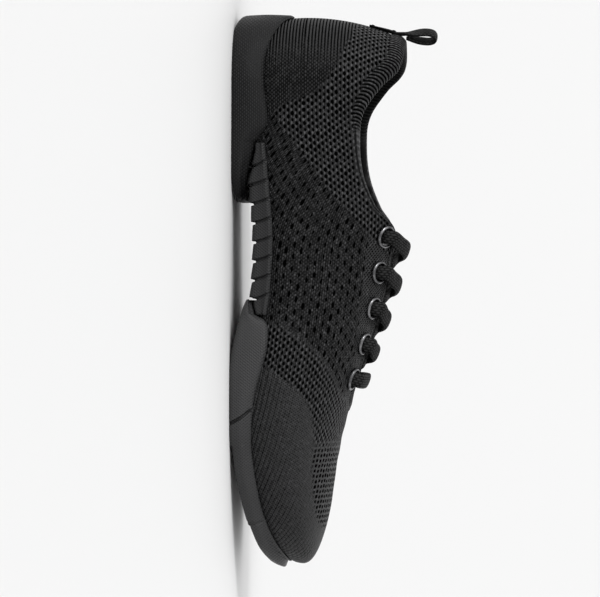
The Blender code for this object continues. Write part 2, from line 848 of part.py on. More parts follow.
def lace_point(u, side, angle, height):
    """Point and normal at a height over the wall's outer skin, carried on over the throat."""
    normal = surface_normal(u, side, min(angle, math.pi / 2 - 0.01))
    return last_point(u, side, angle) + normal * (height + LACE_THICK / 2), normal


def lace_strand(name, start_u, side, end_u, over, end_height, material):
    """Strand from just over one eyelet, over the edge and across the tongue to the other edge."""
    samples = 8
    path = []
    normals = []
    for i in range(samples):
        t = i / (samples - 1)
        u = start_u + (end_u - start_u) * t
        start_angle = edge_angle(start_u, side, EYELET_SETBACK)
        end_angle = edge_angle(end_u, -side, -1.6)
        turn = start_angle + (math.pi - end_angle - start_angle) * t
        here = side if turn <= math.pi / 2 else -side
        angle = turn if here == side else math.pi - turn
        seat = LACE_SEAT + (end_height - LACE_SEAT) * smooth((t - 0.25) / 0.5)
        hump = over * math.exp(-(((t - 0.5) / 0.22) ** 2))
        point, normal = lace_point(u, here, angle, seat + hump)
        path.append(point)
        normals.append(normal)
    return sweep(name, path, normals, LACE_WIDTH, LACE_THICK, 8, material)


def build_laces(material):
    """Straight bar at the toe end and four crossings, each of two strands joined where they cross."""
    bottom = lace_station(0)
    samples = 8
    path = []
    normals = []
    for i in range(samples):
        t = i / (samples - 1)
        side = LATERAL if t <= 0.5 else MEDIAL
        start = edge_angle(bottom, side, EYELET_SETBACK)
        angle = start + (math.pi / 2 - start) * (1 - abs(1 - 2 * t))
        point, normal = lace_point(bottom, side, angle, LACE_SEAT)
        path.append(point)
        normals.append(normal)
    sweep("lace_bar", path, normals, LACE_WIDTH, LACE_THICK, 8, material)
    for k in range(1, EYELETS_A_SIDE):
        start = lace_station(k)
        end = lace_station(k - 1) - (BAR_CLEAR if k == 1 else LACE_SHORT)
        name = f"lace_cross_{k}"
        strand = lace_strand(name, start, LATERAL, end, LACE_OVER + 0.9, LACE_ON_TONGUE, material)
        other = lace_strand(f"{name}_far", start, MEDIAL, end, LACE_OVER - 0.5, LACE_ON_TONGUE, material)
        apply_boolean(strand, [other], "UNION")


LOOP_WIDTH = 9.0
LOOP_THICK = 1.6
LOOP_FOOT = 60.0
LOOP_RISE = 14.0
LOOP_GAP = 3.2


def build_pull_loop(material):
    """Webbing strip: sewn leg up the heel's back, narrow loop above the collar, leg down to it."""
    path = []
    stand_off = GAP + LOOP_THICK / 2 + 0.25
    collar = HEEL_HEIGHT
    for z in np.linspace(LOOP_FOOT, collar - 4.0, 5):
        back = last_point(0.0, LATERAL, angle_at_height(0.0, z))
        path.append(np.array([back[0] - stand_off, 0.0, z]))
    lean = 0.10
    foot = path[-1]
    radius = (LOOP_GAP + LOOP_THICK) / 2
    for t in (0.35, 0.7, 1.0):
        rise = (LOOP_RISE + 4.0 - radius) * t
        path.append(foot + np.array([lean * rise - 0.8 * math.sin(math.pi * t), 0.0, rise]))
    crest = path[-1] + np.array([radius, 0.0, 0.0])
    for degrees in (140, 100, 60, 20):
        turn = math.radians(degrees)
        path.append(crest + radius * np.array([math.cos(turn), 0.0, math.sin(turn)]))
    top_of_pad = collar + GAP + 0.35
    end = np.array([foot[0] + stand_off + 2.4, 0.0, top_of_pad])
    start = path[-1]
    for t in (0.4, 0.75, 1.0):
        path.append(start + (end - start) * t)
    normals = [np.array([0.0, 1.0, 0.0])] * len(path)
    return sweep_strip("pull_loop", path, normals, LOOP_WIDTH, LOOP_THICK, material)


def sweep_strip(name, path, sideways, width, thick, material):
    """Flat strip along a path in the plane across sideways."""
    points = []
    count = len(path)
    for i, centre in enumerate(path):
        along = path[min(i + 1, count - 1)] - path[max(i - 1, 0)]
        along = along / np.linalg.norm(along)
        up = np.cross(along, sideways[i])
        for w, h in ((-1, -1), (1, -1), (1, 1), (-1, 1)):
            points.append(centre + sideways[i] * w * width / 2 + up * h * thick / 2)
    faces = []
    for i in range(count - 1):
        for k in range(4):
            n = (k + 1) % 4
            faces.append([4 * i + k, 4 * i + n, 4 * (i + 1) + n, 4 * (i + 1) + k])
    faces.append([0, 1, 2, 3])
    faces.append([4 * (count - 1) + k for k in range(4)])
    return put_mesh(name, points, faces, material)


def centre_on_floor():
    """Parents everything to one empty that puts the middle of the shoe over the origin."""
    objects = list(bpy.context.scene.collection.objects)
    corners = np.array([v.co for obj in objects for v in obj.data.vertices])
    low = corners.min(0)
    high = corners.max(0)
    root = bpy.data.objects.new("shoe", None)
    bpy.context.scene.collection.objects.link(root)
    root.location = (-(low[0] + high[0]) / 2, -(low[1] + high[1]) / 2, -low[2])
    for obj in objects:
        obj.parent = root


def main():
    for obj in list(bpy.data.objects):
        bpy.data.objects.remove(obj)
    knit = make_material("knit", (0.018, 0.018, 0.019), 0.9)
    rubber = make_material("rubber", (0.03, 0.03, 0.031), 0.6)
    lining = make_material("lining", (0.02, 0.02, 0.021), 0.95)
    cord = make_material("lace", (0.022, 0.022, 0.023), 0.9)
    metal = make_material("eyelet_metal", (0.20, 0.20, 0.21), 0.35, 1.0)
    webbing = make_material("webbing", (0.015, 0.015, 0.016), 0.9)
    upper = build_upper(knit)
    cut_eyelet_holes(upper, knit)
    build_insole(lining)
    build_tongue(knit)
    build_heel_sole(rubber)
    build_forefoot_sole(rubber)
    build_arch_bridge(rubber)
    build_eyelets(metal)
    build_laces(cord)
    build_pull_loop(webbing)
    centre_on_floor()


main()
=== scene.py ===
"""Looks of the split-sole cheer and dance sneaker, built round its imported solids.

The last, soles, tongue and lace places repeat the functions and tables of the solids, at a finer step.
Lengths are millimetres in the last's own frame: x from the heel's back, z from the floor. put_mesh moves
them to the row frame in metres.
"""

import json
import math

import bmesh
import bpy
import numpy as np
from mathutils import Matrix, Vector

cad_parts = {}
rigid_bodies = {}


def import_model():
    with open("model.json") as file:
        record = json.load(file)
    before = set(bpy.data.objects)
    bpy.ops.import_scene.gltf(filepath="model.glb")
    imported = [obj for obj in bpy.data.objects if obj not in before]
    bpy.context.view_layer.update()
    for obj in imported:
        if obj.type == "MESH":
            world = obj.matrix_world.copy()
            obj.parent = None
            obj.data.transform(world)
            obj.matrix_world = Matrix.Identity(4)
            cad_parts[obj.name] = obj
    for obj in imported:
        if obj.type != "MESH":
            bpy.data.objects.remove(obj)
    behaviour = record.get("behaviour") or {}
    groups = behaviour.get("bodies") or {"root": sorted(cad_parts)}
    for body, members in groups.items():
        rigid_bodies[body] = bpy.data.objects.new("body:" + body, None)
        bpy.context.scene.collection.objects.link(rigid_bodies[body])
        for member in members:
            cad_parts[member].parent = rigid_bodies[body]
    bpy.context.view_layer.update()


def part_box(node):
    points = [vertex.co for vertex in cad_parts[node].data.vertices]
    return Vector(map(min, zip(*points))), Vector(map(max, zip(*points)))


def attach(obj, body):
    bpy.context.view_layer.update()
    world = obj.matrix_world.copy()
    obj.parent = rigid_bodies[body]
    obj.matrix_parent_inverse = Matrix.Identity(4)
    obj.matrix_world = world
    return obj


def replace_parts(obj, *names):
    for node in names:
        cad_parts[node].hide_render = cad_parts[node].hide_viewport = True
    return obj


MM = 0.001
LATERAL = -1
MEDIAL = 1
SIDES = ((LATERAL, "outer"), (MEDIAL, "inner"))
WELD = 0.004
TINY_EDGE = 0.001

for old in list(bpy.data.objects):
    bpy.data.objects.remove(old)
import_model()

# The upper's box starts at the heel's back, and the pull loop is centred on the last's middle plane
UPPER_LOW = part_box("upper")[0]
LOOP_LOW, LOOP_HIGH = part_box("pull_loop")
OFFSET = np.array([UPPER_LOW.x / MM, (LOOP_LOW.y + LOOP_HIGH.y) / 2 / MM, 0.0])

# Driving sizes of the last
LENGTH = 246.0
BALL_WIDTH = 88.0
INSTEP_HEIGHT = 75.0
HEEL_HEIGHT = 76.0
GAP = 0.3
WALL = 2.0
COLLAR_PAD = 3.2
# Shares of the length, and of the wall's height, between which the collar's pad grows
PAD_ALONG = (0.36, 0.20)
PAD_UP = (0.35, 0.80)
INSOLE_GAP = 0.5
TONGUE_THICK = 3.0
HEEL_ROUND = 31.0
TOE_ROUND = 62.0
TOE_TOP_ROUND = 30.0
TOE_ROUND_POWER = 2.15
TUCK = 3.6
TUCK_ANGLE = math.radians(60)
HEEL_LEAN = 10.0
HEEL_LEAN_REACH = 95.0
TOP = math.pi / 2

# Cross sections of the last, with the columns of the solids' own table
COLUMNS = ("station", "inner", "outer", "axis", "ridge", "bulge", "crown")
SECTIONS = (
    (0.00, 0.350, 0.350, 0.000, 0.000, 0.427, 1.740),
    (0.10, 0.352, 0.356, 0.000, 0.000, 0.422, 1.690),
    (0.20, 0.346, 0.366, 0.000, 0.006, 0.413, 1.500),
    (0.30, 0.330, 0.380, 0.000, 0.018, 0.402, 1.215),
    (0.40, 0.330, 0.398, 0.000, 0.034, 0.388, 1.010),
    (0.50, 0.354, 0.424, 0.000, 0.046, 0.364, 0.922),
    (0.60, 0.408, 0.476, 0.004, 0.054, 0.328, 0.808),
    (0.70, 0.466, 0.504, 0.010, 0.058, 0.292, 0.690),
    (0.80, 0.480, 0.484, 0.028, 0.060, 0.290, 0.610),
    (0.90, 0.450, 0.460, 0.058, 0.066, 0.325, 0.560),
    (1.00, 0.410, 0.450, 0.085, 0.085, 0.395, 0.545),
)
# Height of the feather edge, and share of the heel's height of the collar, at shares of the length
FLOOR = ((0.00, 10.5), (0.18, 10.5), (0.29, 13.0), (0.40, 15.2), (0.50, 14.2), (0.57, 11.6),
         (0.63, 9.0), (0.70, 7.0), (0.77, 6.2), (0.84, 7.6), (0.91, 11.2), (0.96, 15.8), (1.00, 22.0))
COLLAR = ((0.00, 1.000), (0.05, 0.975), (0.10, 0.865), (0.16, 0.762), (0.22, 0.738), (0.29, 0.768),
          (0.36, 0.860), (0.42, 0.960))
CORNER = 0.385
CORNER_BLEND = 0.040
THROAT_TOP_HALF = 13.5
THROAT_END_HALF = 9.0
THROAT_END = 0.710 * LENGTH

EYELETS_A_SIDE = 5
EYELET_FIRST = 0.660
EYELET_LAST = 0.402
EYELET_SETBACK = 8.6
EYELET_OUTER_R = 5.2
EYELET_INNER_R = 3.8
LACE_WIDTH = 7.2
LACE_THICK = 2.8


def smooth(t):
    t = np.clip(t, 0.0, 1.0)
    return t * t * (3 - 2 * t)


def ramp(value, low, high):
    """Smooth step from 0 at low to 1 at high, which may be the smaller one."""
    return smooth((value - low) / (high - low))


def between(a, b, share):
    return a + (b - a) * share


def arch(t):
    """Quarter circle from 1 at 0 down to 0 at 1."""
    return np.sqrt(np.maximum(1 - t**2, 0.0))


def unit(vectors):
    return vectors / np.linalg.norm(vectors, axis=-1, keepdims=True)


def through(rows, at):
    """Smooth curve through (place, value) rows, at one place or an array of them."""
    places, values = np.array(rows, float).T
    slopes = np.empty_like(values)
    slopes[1:-1] = (values[2:] - values[:-2]) / (places[2:] - places[:-2])
    slopes[0] = (values[1] - values[0]) / (places[1] - places[0])
    slopes[-1] = (values[-1] - values[-2]) / (places[-1] - places[-2])
    i = np.clip(np.searchsorted(places, at) - 1, 0, len(rows) - 2)
    span = places[i + 1] - places[i]
    t = np.clip((at - places[i]) / span, 0.0, 1.0)
    h = t * t * (3 - 2 * t)
    bend_in = t * (1 - t) ** 2 * span * slopes[i]
    bend_out = -t * t * (1 - t) * span * slopes[i + 1]
    return values[i] * (1 - h) + values[i + 1] * h + bend_in + bend_out


def column(name, u):
    k = COLUMNS.index(name)
    return through([(row[0], row[k]) for row in SECTIONS], u / LENGTH)


def floor_height(u):
    return through(FLOOR, u / LENGTH)


def bulge_height(u):
    return column("bulge", u) * INSTEP_HEIGHT


def end_round(u):
    heel = 1 - np.minimum(u / HEEL_ROUND, 1.0)
    toe = np.maximum((u - (LENGTH - TOE_ROUND)) / TOE_ROUND, 0.0)
    toe_share = np.maximum(1 - toe**TOE_ROUND_POWER, 0.0) ** (1 / TOE_ROUND_POWER)
    return arch(heel) * toe_share


def crown_rise(u, inset=0.0):
    """Height of the ridge over the widest line."""
    toe = np.maximum((u - (LENGTH - TOE_TOP_ROUND)) / TOE_TOP_ROUND, 0.0)
    rise = column("crown", u) * INSTEP_HEIGHT - inset - bulge_height(u)
    return rise * arch(toe)


def outline(u, side, inset=0.0):
    half = column("inner" if side == MEDIAL else "outer", u) * BALL_WIDTH
    x = inset + u * (LENGTH - 2 * inset) / LENGTH
    y = column("axis", u) * BALL_WIDTH + side * (half - inset) * end_round(u)
    return x, y


def plan_normal(u, side):
    step = 0.02
    xa, ya = outline(np.maximum(u - step, 0.0), side)
    xb, yb = outline(np.minimum(u + step, LENGTH), side)
    nx = -(yb - ya) * side
    ny = (xb - xa) * side
    nx = np.where(u <= 0.0, -1.0, np.where(u >= LENGTH, 1.0, nx))
    ny = np.where((u <= 0.0) | (u >= LENGTH), 0.0, ny)
    size = np.hypot(nx, ny)
    return nx / size, ny / size


def last_points(u, side, angle, inset=0.0):
    """Points of the last: -TUCK_ANGLE is the feather edge, 0 the widest line and TOP the ridge."""
    u, angle, inset = np.broadcast_arrays(*(np.asarray(v, float) for v in (u, angle, inset)))
    bulge = bulge_height(u)
    x, y = outline(u, side, inset)
    nx, ny = plan_normal(u, side)
    turned = TUCK * (1 - np.cos(np.minimum(angle, 0.0))) / (1 - math.cos(TUCK_ANGLE))
    low = bulge + (bulge - floor_height(u)) * np.sin(np.minimum(angle, 0.0)) / math.sin(TUCK_ANGLE)
    above = np.maximum(angle, 0.0)
    ridge = column("ridge", u) * BALL_WIDTH
    high = bulge + crown_rise(u, inset) * np.sin(above)
    lean = HEEL_LEAN * ((high - bulge) / (HEEL_HEIGHT - bulge)) ** 2 * (1 - smooth(u / HEEL_LEAN_REACH))
    under = angle < 0
    px = np.where(under, x - turned * nx, x + lean)
    py = np.where(under, y - turned * ny, ridge + (y - ridge) * np.cos(above))
    return np.stack([px, py, np.where(under, low, high)], axis=-1)


def angle_at_height(u, z):
    bulge = bulge_height(u)
    low = floor_height(u)
    below = np.maximum((z - bulge) / (bulge - low), -1.0) * math.sin(TUCK_ANGLE)
    above = np.minimum((z - bulge) / np.maximum(crown_rise(u), 0.01), 1.0)
    return np.where(z <= bulge, np.arcsin(np.minimum(below, 0.0)), np.arcsin(np.maximum(above, 0.0)))


def throat_half(u):
    start = CORNER * LENGTH
    round_start = THROAT_END - THROAT_END_HALF
    t = np.minimum((u - start) / (round_start - start), 1.0)
    into_round = np.clip((u - round_start) / THROAT_END_HALF, 0.0, 1.0)
    return between(THROAT_TOP_HALF, THROAT_END_HALF, t) * arch(into_round)


def edge_angle(u, side, back=0.0):
    """Angle at which the wall stops at the collar or throat, or back millimetres short of the throat."""
    share = u / LENGTH
    at_collar = angle_at_height(u, through(COLLAR, share) * HEEL_HEIGHT)
    half = np.abs(outline(u, side)[1] - column("ridge", u) * BALL_WIDTH)
    at_throat = np.arccos(np.clip((throat_half(u) + back) / np.maximum(half, 0.01), 0.0, 1.0))
    mix = smooth((share - CORNER + CORNER_BLEND) / (2 * CORNER_BLEND))
    angle = between(at_collar, at_throat, mix)
    if back == 0.0:
        angle = np.where(u >= THROAT_END - 1e-6, TOP, angle)
    return angle


def surface_normal(u, side, angle):
    step_u = 0.05
    step_angle = 0.002
    along = last_points(u + step_u, side, angle) - last_points(u - step_u, side, angle)
    up = last_points(u, side, angle + step_angle) - last_points(u, side, angle - step_angle)
    return unit(np.cross(along, up) * -side)


def wall_thickness(u, rise):
    return WALL + COLLAR_PAD * ramp(u / LENGTH, *PAD_ALONG) * ramp(rise, *PAD_UP)


def spaced(start, end, step):
    count = max(int(round((end - start) / step)), 1)
    return np.linspace(start, end, count + 1)


def last_stations(step, end_steps):
    """Stations along the whole last, closer together at its round ends and at the throat's end."""
    turn = np.linspace(0, TOP, end_steps + 1)
    heel = HEEL_ROUND * (1 - np.cos(turn))
    toe = LENGTH - TOE_TOP_ROUND + TOE_TOP_ROUND * np.sin(turn)
    near_end = THROAT_END - THROAT_END_HALF * (1 - np.sin(np.linspace(0, TOP, 15)))
    middle = [spaced(HEEL_ROUND, near_end[0], step)[1:-1], near_end, spaced(THROAT_END, toe[0], step)[1:-1]]
    return np.concatenate([heel, *middle, toe])


# Meshes


def add_object(name, data):
    obj = bpy.data.objects.new(name, data)
    bpy.context.scene.collection.objects.link(obj)
    return obj


def put_mesh(name, points, faces, materials, smooth_angle=50, values=None, slots=None):
    """Mesh object from points in the last's millimetres, welded, facing out and in the row frame.

    values holds numbers a point for the material, and slots the place of each face's material.
    """
    mesh = bpy.data.meshes.new(name)
    placed = (np.asarray(points, float).reshape(-1, 3) + OFFSET) * MM
    mesh.from_pydata(placed.tolist(), [], [list(map(int, f)) for f in faces])
    for material in materials:
        mesh.materials.append(material)
    if not values:
        tidy_mesh(mesh)
    mesh.shade_smooth()
    mesh.set_sharp_from_angle(angle=math.radians(smooth_angle))
    obj = add_object(name, mesh)
    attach(obj, "root")
    if values:
        for key, numbers in values.items():
            layer = mesh.attributes.new(key, "FLOAT", "POINT")
            layer.data.foreach_set("value", np.asarray(numbers, np.float32).reshape(-1))
        if slots:
            mesh.polygons.foreach_set("material_index", slots)
        tidy_mesh(mesh)
    return obj


def tidy_mesh(mesh):
    bm = bmesh.new()
    bm.from_mesh(mesh)
    bmesh.ops.remove_doubles(bm, verts=bm.verts, dist=WELD * MM)
    bmesh.ops.dissolve_degenerate(bm, edges=bm.edges, dist=TINY_EDGE * MM)
    bmesh.ops.delete(bm, geom=[v for v in bm.verts if not v.link_faces], context="VERTS")
    bmesh.ops.recalc_face_normals(bm, faces=bm.faces)
    bm.to_mesh(mesh)
    bm.free()


def grid_faces(rows, columns, start=0):
    """Faces of a grid whose points run row by row."""
    i, j = np.meshgrid(np.arange(rows - 1), np.arange(columns - 1), indexing="ij")
    a = start + i * columns + j
    return np.stack([a, a + 1, a + columns + 1, a + columns], axis=-1).reshape(-1, 4)


def tube_faces(rows, columns):
    """Faces of a grid whose rows are closed rings."""
    a = np.arange(rows - 1) * columns
    closing = np.stack([a + columns - 1, a, a + columns, a + 2 * columns - 1], axis=-1)
    return grid_faces(rows, columns).tolist() + closing.tolist()


# Materials


class Value:
    """A node's output that can be reckoned with like a number."""

    def __init__(self, graph, socket):
        self.graph = graph
        self.socket = socket

    def __add__(self, other):
        return self.graph.math("ADD", self, other)

    def __sub__(self, other):
        return self.graph.math("SUBTRACT", self, other)

    def __rsub__(self, other):
        return self.graph.math("SUBTRACT", other, self)

    def __mul__(self, other):
        return self.graph.math("MULTIPLY", self, other)

    def __truediv__(self, other):
        return self.graph.math("DIVIDE", self, other)

    def __pow__(self, power):
        return self.graph.math("POWER", self, power)


class Graph:
    """Short way to write a material's nodes."""

    def __init__(self, name, colour, roughness, **sockets):
        self.material = bpy.data.materials.new(name)
        self.material.use_nodes = True
        self.tree = self.material.node_tree
        self.shader = self.tree.nodes["Principled BSDF"]
        self.shade(Base_Color=(*colour, 1.0), Roughness=roughness, **sockets)

    def shade(self, **sockets):
        for name, value in sockets.items():
            self.feed(self.shader.inputs[name.replace("_", " ")], value)

    def feed(self, socket, value):
        if isinstance(value, Value):
            self.tree.links.new(value.socket, socket)
        else:
            socket.default_value = value

    def make(self, kind, inputs=(), **settings):
        node = self.tree.nodes.new(kind)
        for key, value in settings.items():
            setattr(node, key, value)
        for key, value in dict(inputs).items():
            self.feed(node.inputs[key], value)
        return node

    def node(self, kind, inputs=(), output=0, **settings):
        return Value(self, self.make(kind, inputs, **settings).outputs[output])

    def math(self, operation, *inputs):
        return self.node("ShaderNodeMath", enumerate(inputs), operation=operation)

    def value(self, name):
        return self.node("ShaderNodeAttribute", output="Fac", attribute_name=name)

    def axes(self):
        """Place in the object's own frame, in millimetres."""
        place = self.node("ShaderNodeTexCoord", output="Object")
        parts = self.make("ShaderNodeSeparateXYZ", {0: place}).outputs
        return [Value(self, part) / MM for part in parts]

    def ramp(self, value, low, high, to_low=0.0, to_high=1.0):
        """Smooth step from to_low to to_high as value goes from low to high."""
        return self.node("ShaderNodeMapRange", enumerate((value, low, high, to_low, to_high)),
                         interpolation_type="SMOOTHSTEP")

    def mix(self, share, a, b):
        return self.node("ShaderNodeMix", {0: share, 2: a, 3: b}, data_type="FLOAT")

    def colours(self, share, a, b):
        a, b = (tone if isinstance(tone, Value) else (*tone, 1.0) for tone in (a, b))
        return self.node("ShaderNodeMix", {0: share, 6: a, 7: b}, output=2, data_type="RGBA")

    def noise(self, scale, detail=2.0):
        place = self.node("ShaderNodeTexCoord", output="Object")
        return self.node("ShaderNodeTexNoise", {"Scale": scale, "Detail": detail, "Vector": place})

    def wave(self, value, pitch):
        """Smooth ridges, 0 to 1, once each pitch."""
        return self.math("COSINE", value * (2 * math.pi / pitch)) * 0.5 + 0.5

    def highest(self, a, b):
        return self.math("MAXIMUM", a, b)

    def holes(self, s, t, cell, radius, vary=0.25, soft=0.3, stagger=0.5, power=2.0):
        """1 inside the holes of a grid, 0 between them; vary makes some of them smaller.

        The holes are ovals at power 2 and boxes above it, and every other row is shifted by stagger.
        """
        rows = t / cell[1]
        odd = self.math("ABSOLUTE", self.math("MODULO", self.math("FLOOR", rows), 2.0))
        along = odd * stagger + s / cell[0]
        away = [self.math("ABSOLUTE", self.math("FRACT", place) - 0.5) for place in (along, rows)]
        far_s, far_t = ((away[k] * (cell[k] / radius[k])) ** power for k in range(2))
        far = (far_s + far_t) ** (1 / power) * (self.chance(along, rows) * (2 * vary) + 1.0)
        return self.ramp(far, 1 + soft, 1 - soft)

    def chance(self, s, t):
        """A value from 0 to 1 that differs from one unit square to the next."""
        square = self.node("ShaderNodeCombineXYZ", {0: self.math("FLOOR", s), 1: self.math("FLOOR", t)})
        return self.node("ShaderNodeTexWhiteNoise", {"Vector": square}, noise_dimensions="2D")

    def finish(self, height, depth):
        """Bump from a height of 0 to 1 that stands for depth millimetres."""
        bump = self.node("ShaderNodeBump", {"Height": height, "Distance": depth * MM, "Strength": 1.0})
        self.shade(Normal=bump)
        return self.material


KNIT_DARK = (0.0006, 0.0006, 0.0006)
KNIT_YARN = (0.0150, 0.0150, 0.0156)
# Colour of the painted highlights, glints on some flecks of the yarn and on the knot by each hole
KNIT_GLINT = (0.060, 0.060, 0.0620)
# Share of the painted highlight on the brightest flecks, and the flecks' size; the flecks also vary the
# yarn's tone at random
FLECK_HIGHLIGHT_SHARE = 0.7
FLECK_AND_HIGHLIGHT_SIZE = (1.1, 0.7)
# Grids of the knit: cell, and half size of the hole or lump in it
SPECKS = ((1.2, 0.95), (0.46, 0.34))
LOOPS = ((1.7, 1.05), (0.72, 0.46))
MID_HOLES = ((5.4, 3.4), (1.5, 0.68))
BAND_HOLES = ((2.95, 1.75), (1.0, 0.6))
STRIP_HOLES = ((2.3, 2.9), (0.77, 0.95))
REAR_HOLES = ((2.95, 1.8), (1.0, 0.66))
HEEL_LUMPS = ((1.7, 0.95), (0.66, 0.44))
TOE_RIB_PITCH = 2.3
COURSE_PITCH = 1.2
WALE_PITCH = 1.0
NET_PITCH = 1.9
HEEL_RIB_PITCH = 1.45
# Distances round the heel between which its ribs give way to lumps
HEEL_RIB_FADE = (16.0, 46.0)
BINDING_PITCH = 2.0
LIP_RIB_PITCH = 1.75
KNIT_DEPTH = 0.9
LINING_PITCH = 2.1
LINING_DARK = (0.002,) * 3
LINING_LIGHT = (0.017,) * 3
RUBBER_DARK = (0.0055, 0.0055, 0.0058)
RUBBER_LIGHT = (0.0235, 0.0235, 0.0242)
SIDE_DOTS = ((1.5, 0.9), (0.5, 0.34))
PANEL_DOTS = ((3.0, 1.9), (0.8, 0.5))
HATCH_SLANT = 0.8
HATCH_PITCH = 1.3
PLAITS = ((1.7, 1.1), (0.8, 0.52))
METAL_DARK = (0.09, 0.09, 0.093)
METAL_LIGHT = (0.24, 0.24, 0.246)
# Herringbone of the forefoot's underside
TREAD_ROW = 9.0
TREAD_PITCH = 6.0
TREAD_DEPTH = 0.8
TREAD_FADE = 8.0


def knit_material():
    """Black knit whose stitch changes from zone to zone, as the point values of the upper say, with painted
    highlights on some flecks and on the knot by each hole.
    """
    g = Graph("knit", KNIT_YARN, 0.55)
    along, down, around, up = (g.value(name) for name in ("along", "down", "around", "up"))
    drift = g.noise(110.0, 1.0) * 1.6 - 0.8
    s = along + drift
    t = drift * 0.4 + down

    def zone(base, name, holes, ground):
        """Over base, inside the named zone, ground pierced by holes."""
        return g.mix(g.value(name), base, ground * (1.0 - holes))

    def knots_and_highlights(s, t, cell):
        """Lumps of yarn between the holes of a grid, each nearer to the hole on one side: they raise the
        bump, and in the colour they are painted highlights where light would catch the hole's edge.
        """
        size = (0.3 * cell[0], 0.24 * cell[1])
        return g.holes(s + 0.5 * cell[0], t + 0.25 * cell[1], cell, size, vary=0.45, soft=0.7)

    specks = g.holes(s, t, *SPECKS, vary=0.6, soft=0.8)
    toe = g.mix(g.value("rib_depth"), 0.95, g.wave(down, TOE_RIB_PITCH) ** 0.33)
    height = toe * (specks * -0.5 + 1.0)

    stitch = g.wave(t, WALE_PITCH) * 0.3 + g.wave(along, COURSE_PITCH) * 0.2 + 0.5
    loops = g.holes(s, t, *LOOPS, vary=0.55, soft=0.6)
    mid_holes = g.holes(s, t, *MID_HOLES, vary=0.5, soft=0.45)
    height = zone(height, "zone_mid", mid_holes, loops * 0.42 + stitch * 0.25 + 0.23)
    band_holes = g.holes(s, t, *BAND_HOLES, vary=0.3, soft=0.45)
    band_knots_and_highlights = knots_and_highlights(s, t, BAND_HOLES[0])
    height = zone(height, "zone_band", band_holes, band_knots_and_highlights * 0.3 + stitch * 0.3 + 0.35)
    strip_holes = g.holes(along, down, *STRIP_HOLES, vary=0.1, soft=0.25, stagger=0.12, power=4.0)
    height = zone(height, "zone_strip", strip_holes, stitch * 0.4 + 0.55)
    net = g.highest(g.wave(s + t, NET_PITCH), g.wave(s - t, NET_PITCH))
    height = g.mix(g.value("zone_net"), height, net)
    rear_holes = g.holes(around, up, *REAR_HOLES, vary=0.3, soft=0.45)
    rear_knots_and_highlights = knots_and_highlights(around, up, REAR_HOLES[0])
    height = zone(height, "zone_rear", rear_holes, rear_knots_and_highlights * 0.4 + 0.6)
    heel_lumps = g.holes(around, up, *HEEL_LUMPS, vary=0.4, soft=0.6) * 0.45 + 0.35
    heel = g.mix(g.ramp(around, *HEEL_RIB_FADE), g.wave(up, HEEL_RIB_PITCH) ** 0.7, heel_lumps)
    height = g.mix(g.value("zone_heel"), height, heel)
    binding = g.wave(g.value("from_edge"), BINDING_PITCH) * 0.5 + 0.35
    hem = g.mix(g.value("zone_lip"), binding, g.wave(around, LIP_RIB_PITCH))
    height = g.mix(g.value("zone_edge"), height, hem)

    height = g.noise(1500.0, 3.0) * 0.24 + height * 0.8
    # The flecks vary the yarn's tone at random, and the brightest of them take painted highlights
    fleck_and_highlight = g.chance(s / FLECK_AND_HIGHLIGHT_SIZE[0], t / FLECK_AND_HIGHLIGHT_SIZE[1])
    tone = g.ramp(height, 0.2, 0.9) * (fleck_and_highlight * 0.5 + 0.7)
    # Painted highlights: the glint colour on the brightest flecks and on the knot by each hole, as if light
    # caught it
    painted_knot_highlights = g.highest(rear_knots_and_highlights * g.value("zone_rear"), band_knots_and_highlights * g.value("zone_band"))
    painted_highlights = g.highest(g.ramp(fleck_and_highlight, 0.8, 1.0, 0.0, FLECK_HIGHLIGHT_SHARE), painted_knot_highlights)
    glint = painted_highlights * tone * g.value("glint")
    g.shade(Base_Color=g.colours(glint, g.colours(tone, KNIT_DARK, KNIT_YARN), KNIT_GLINT),
            Specular_IOR_Level=g.ramp(height, 0.25, 0.95, 0.0, 0.32))
    return g.finish(height, KNIT_DEPTH)


def lining_material():
    """Padded lining: ribs over the rolled lip, and along the foot below it."""
    g = Graph("lining", (0.014, 0.014, 0.0145), 0.8, Specular_IOR_Level=0.12)
    over_lip = g.ramp(g.value("from_edge"), 5.0, 8.0, 1.0, 0.0) * g.value("zone_lip")
    ribs = g.mix(over_lip, g.wave(g.value("up"), LINING_PITCH), g.wave(g.value("around"), LIP_RIB_PITCH))
    height = g.noise(1100.0) * 0.3 + ribs * 0.7
    g.shade(Base_Color=g.colours(g.ramp(height, 0.1, 0.9), LINING_DARK, LINING_LIGHT))
    return g.finish(height, 0.8)


def rubber_material(name, dots, light):
    """Matt black rubber with a fine moulded texture: dots on the heel, slanting hatching on the rest."""
    g = Graph(name, RUBBER_LIGHT, 0.5, Specular_IOR_Level=0.22 * light)
    x, y, z = g.axes()
    if dots:
        side = g.holes(x, z, *SIDE_DOTS, vary=0.2, soft=0.55)
        under = 1.0 - g.holes(x, y, *PANEL_DOTS, vary=0.05)
    else:
        side = g.highest(*(g.wave(z * slant + x, HATCH_PITCH) for slant in (HATCH_SLANT, -HATCH_SLANT)))
        under = g.wave(g.math("PINGPONG", y, TREAD_ROW) + x, TREAD_PITCH)
    pattern = g.mix(g.value("under"), side, under)
    depth = g.mix(g.value("under"), 0.5, 1.0)
    height = g.noise(2600.0) * 0.2 + pattern * depth * 0.8
    wear = g.ramp(g.noise(60.0, 4.0), 0.35, 0.7)
    # The tones and specular level are scaled by light: painted light in a lighter copy, painted shade in a
    # darker one
    tones = [[light * part for part in tone] for tone in (RUBBER_DARK, RUBBER_LIGHT)]
    g.shade(Base_Color=g.colours(side * 0.75 + wear * 0.25, *tones),
            Roughness=g.ramp(wear, 0.0, 1.0, 0.45, 0.6))
    return g.finish(height, 0.4)


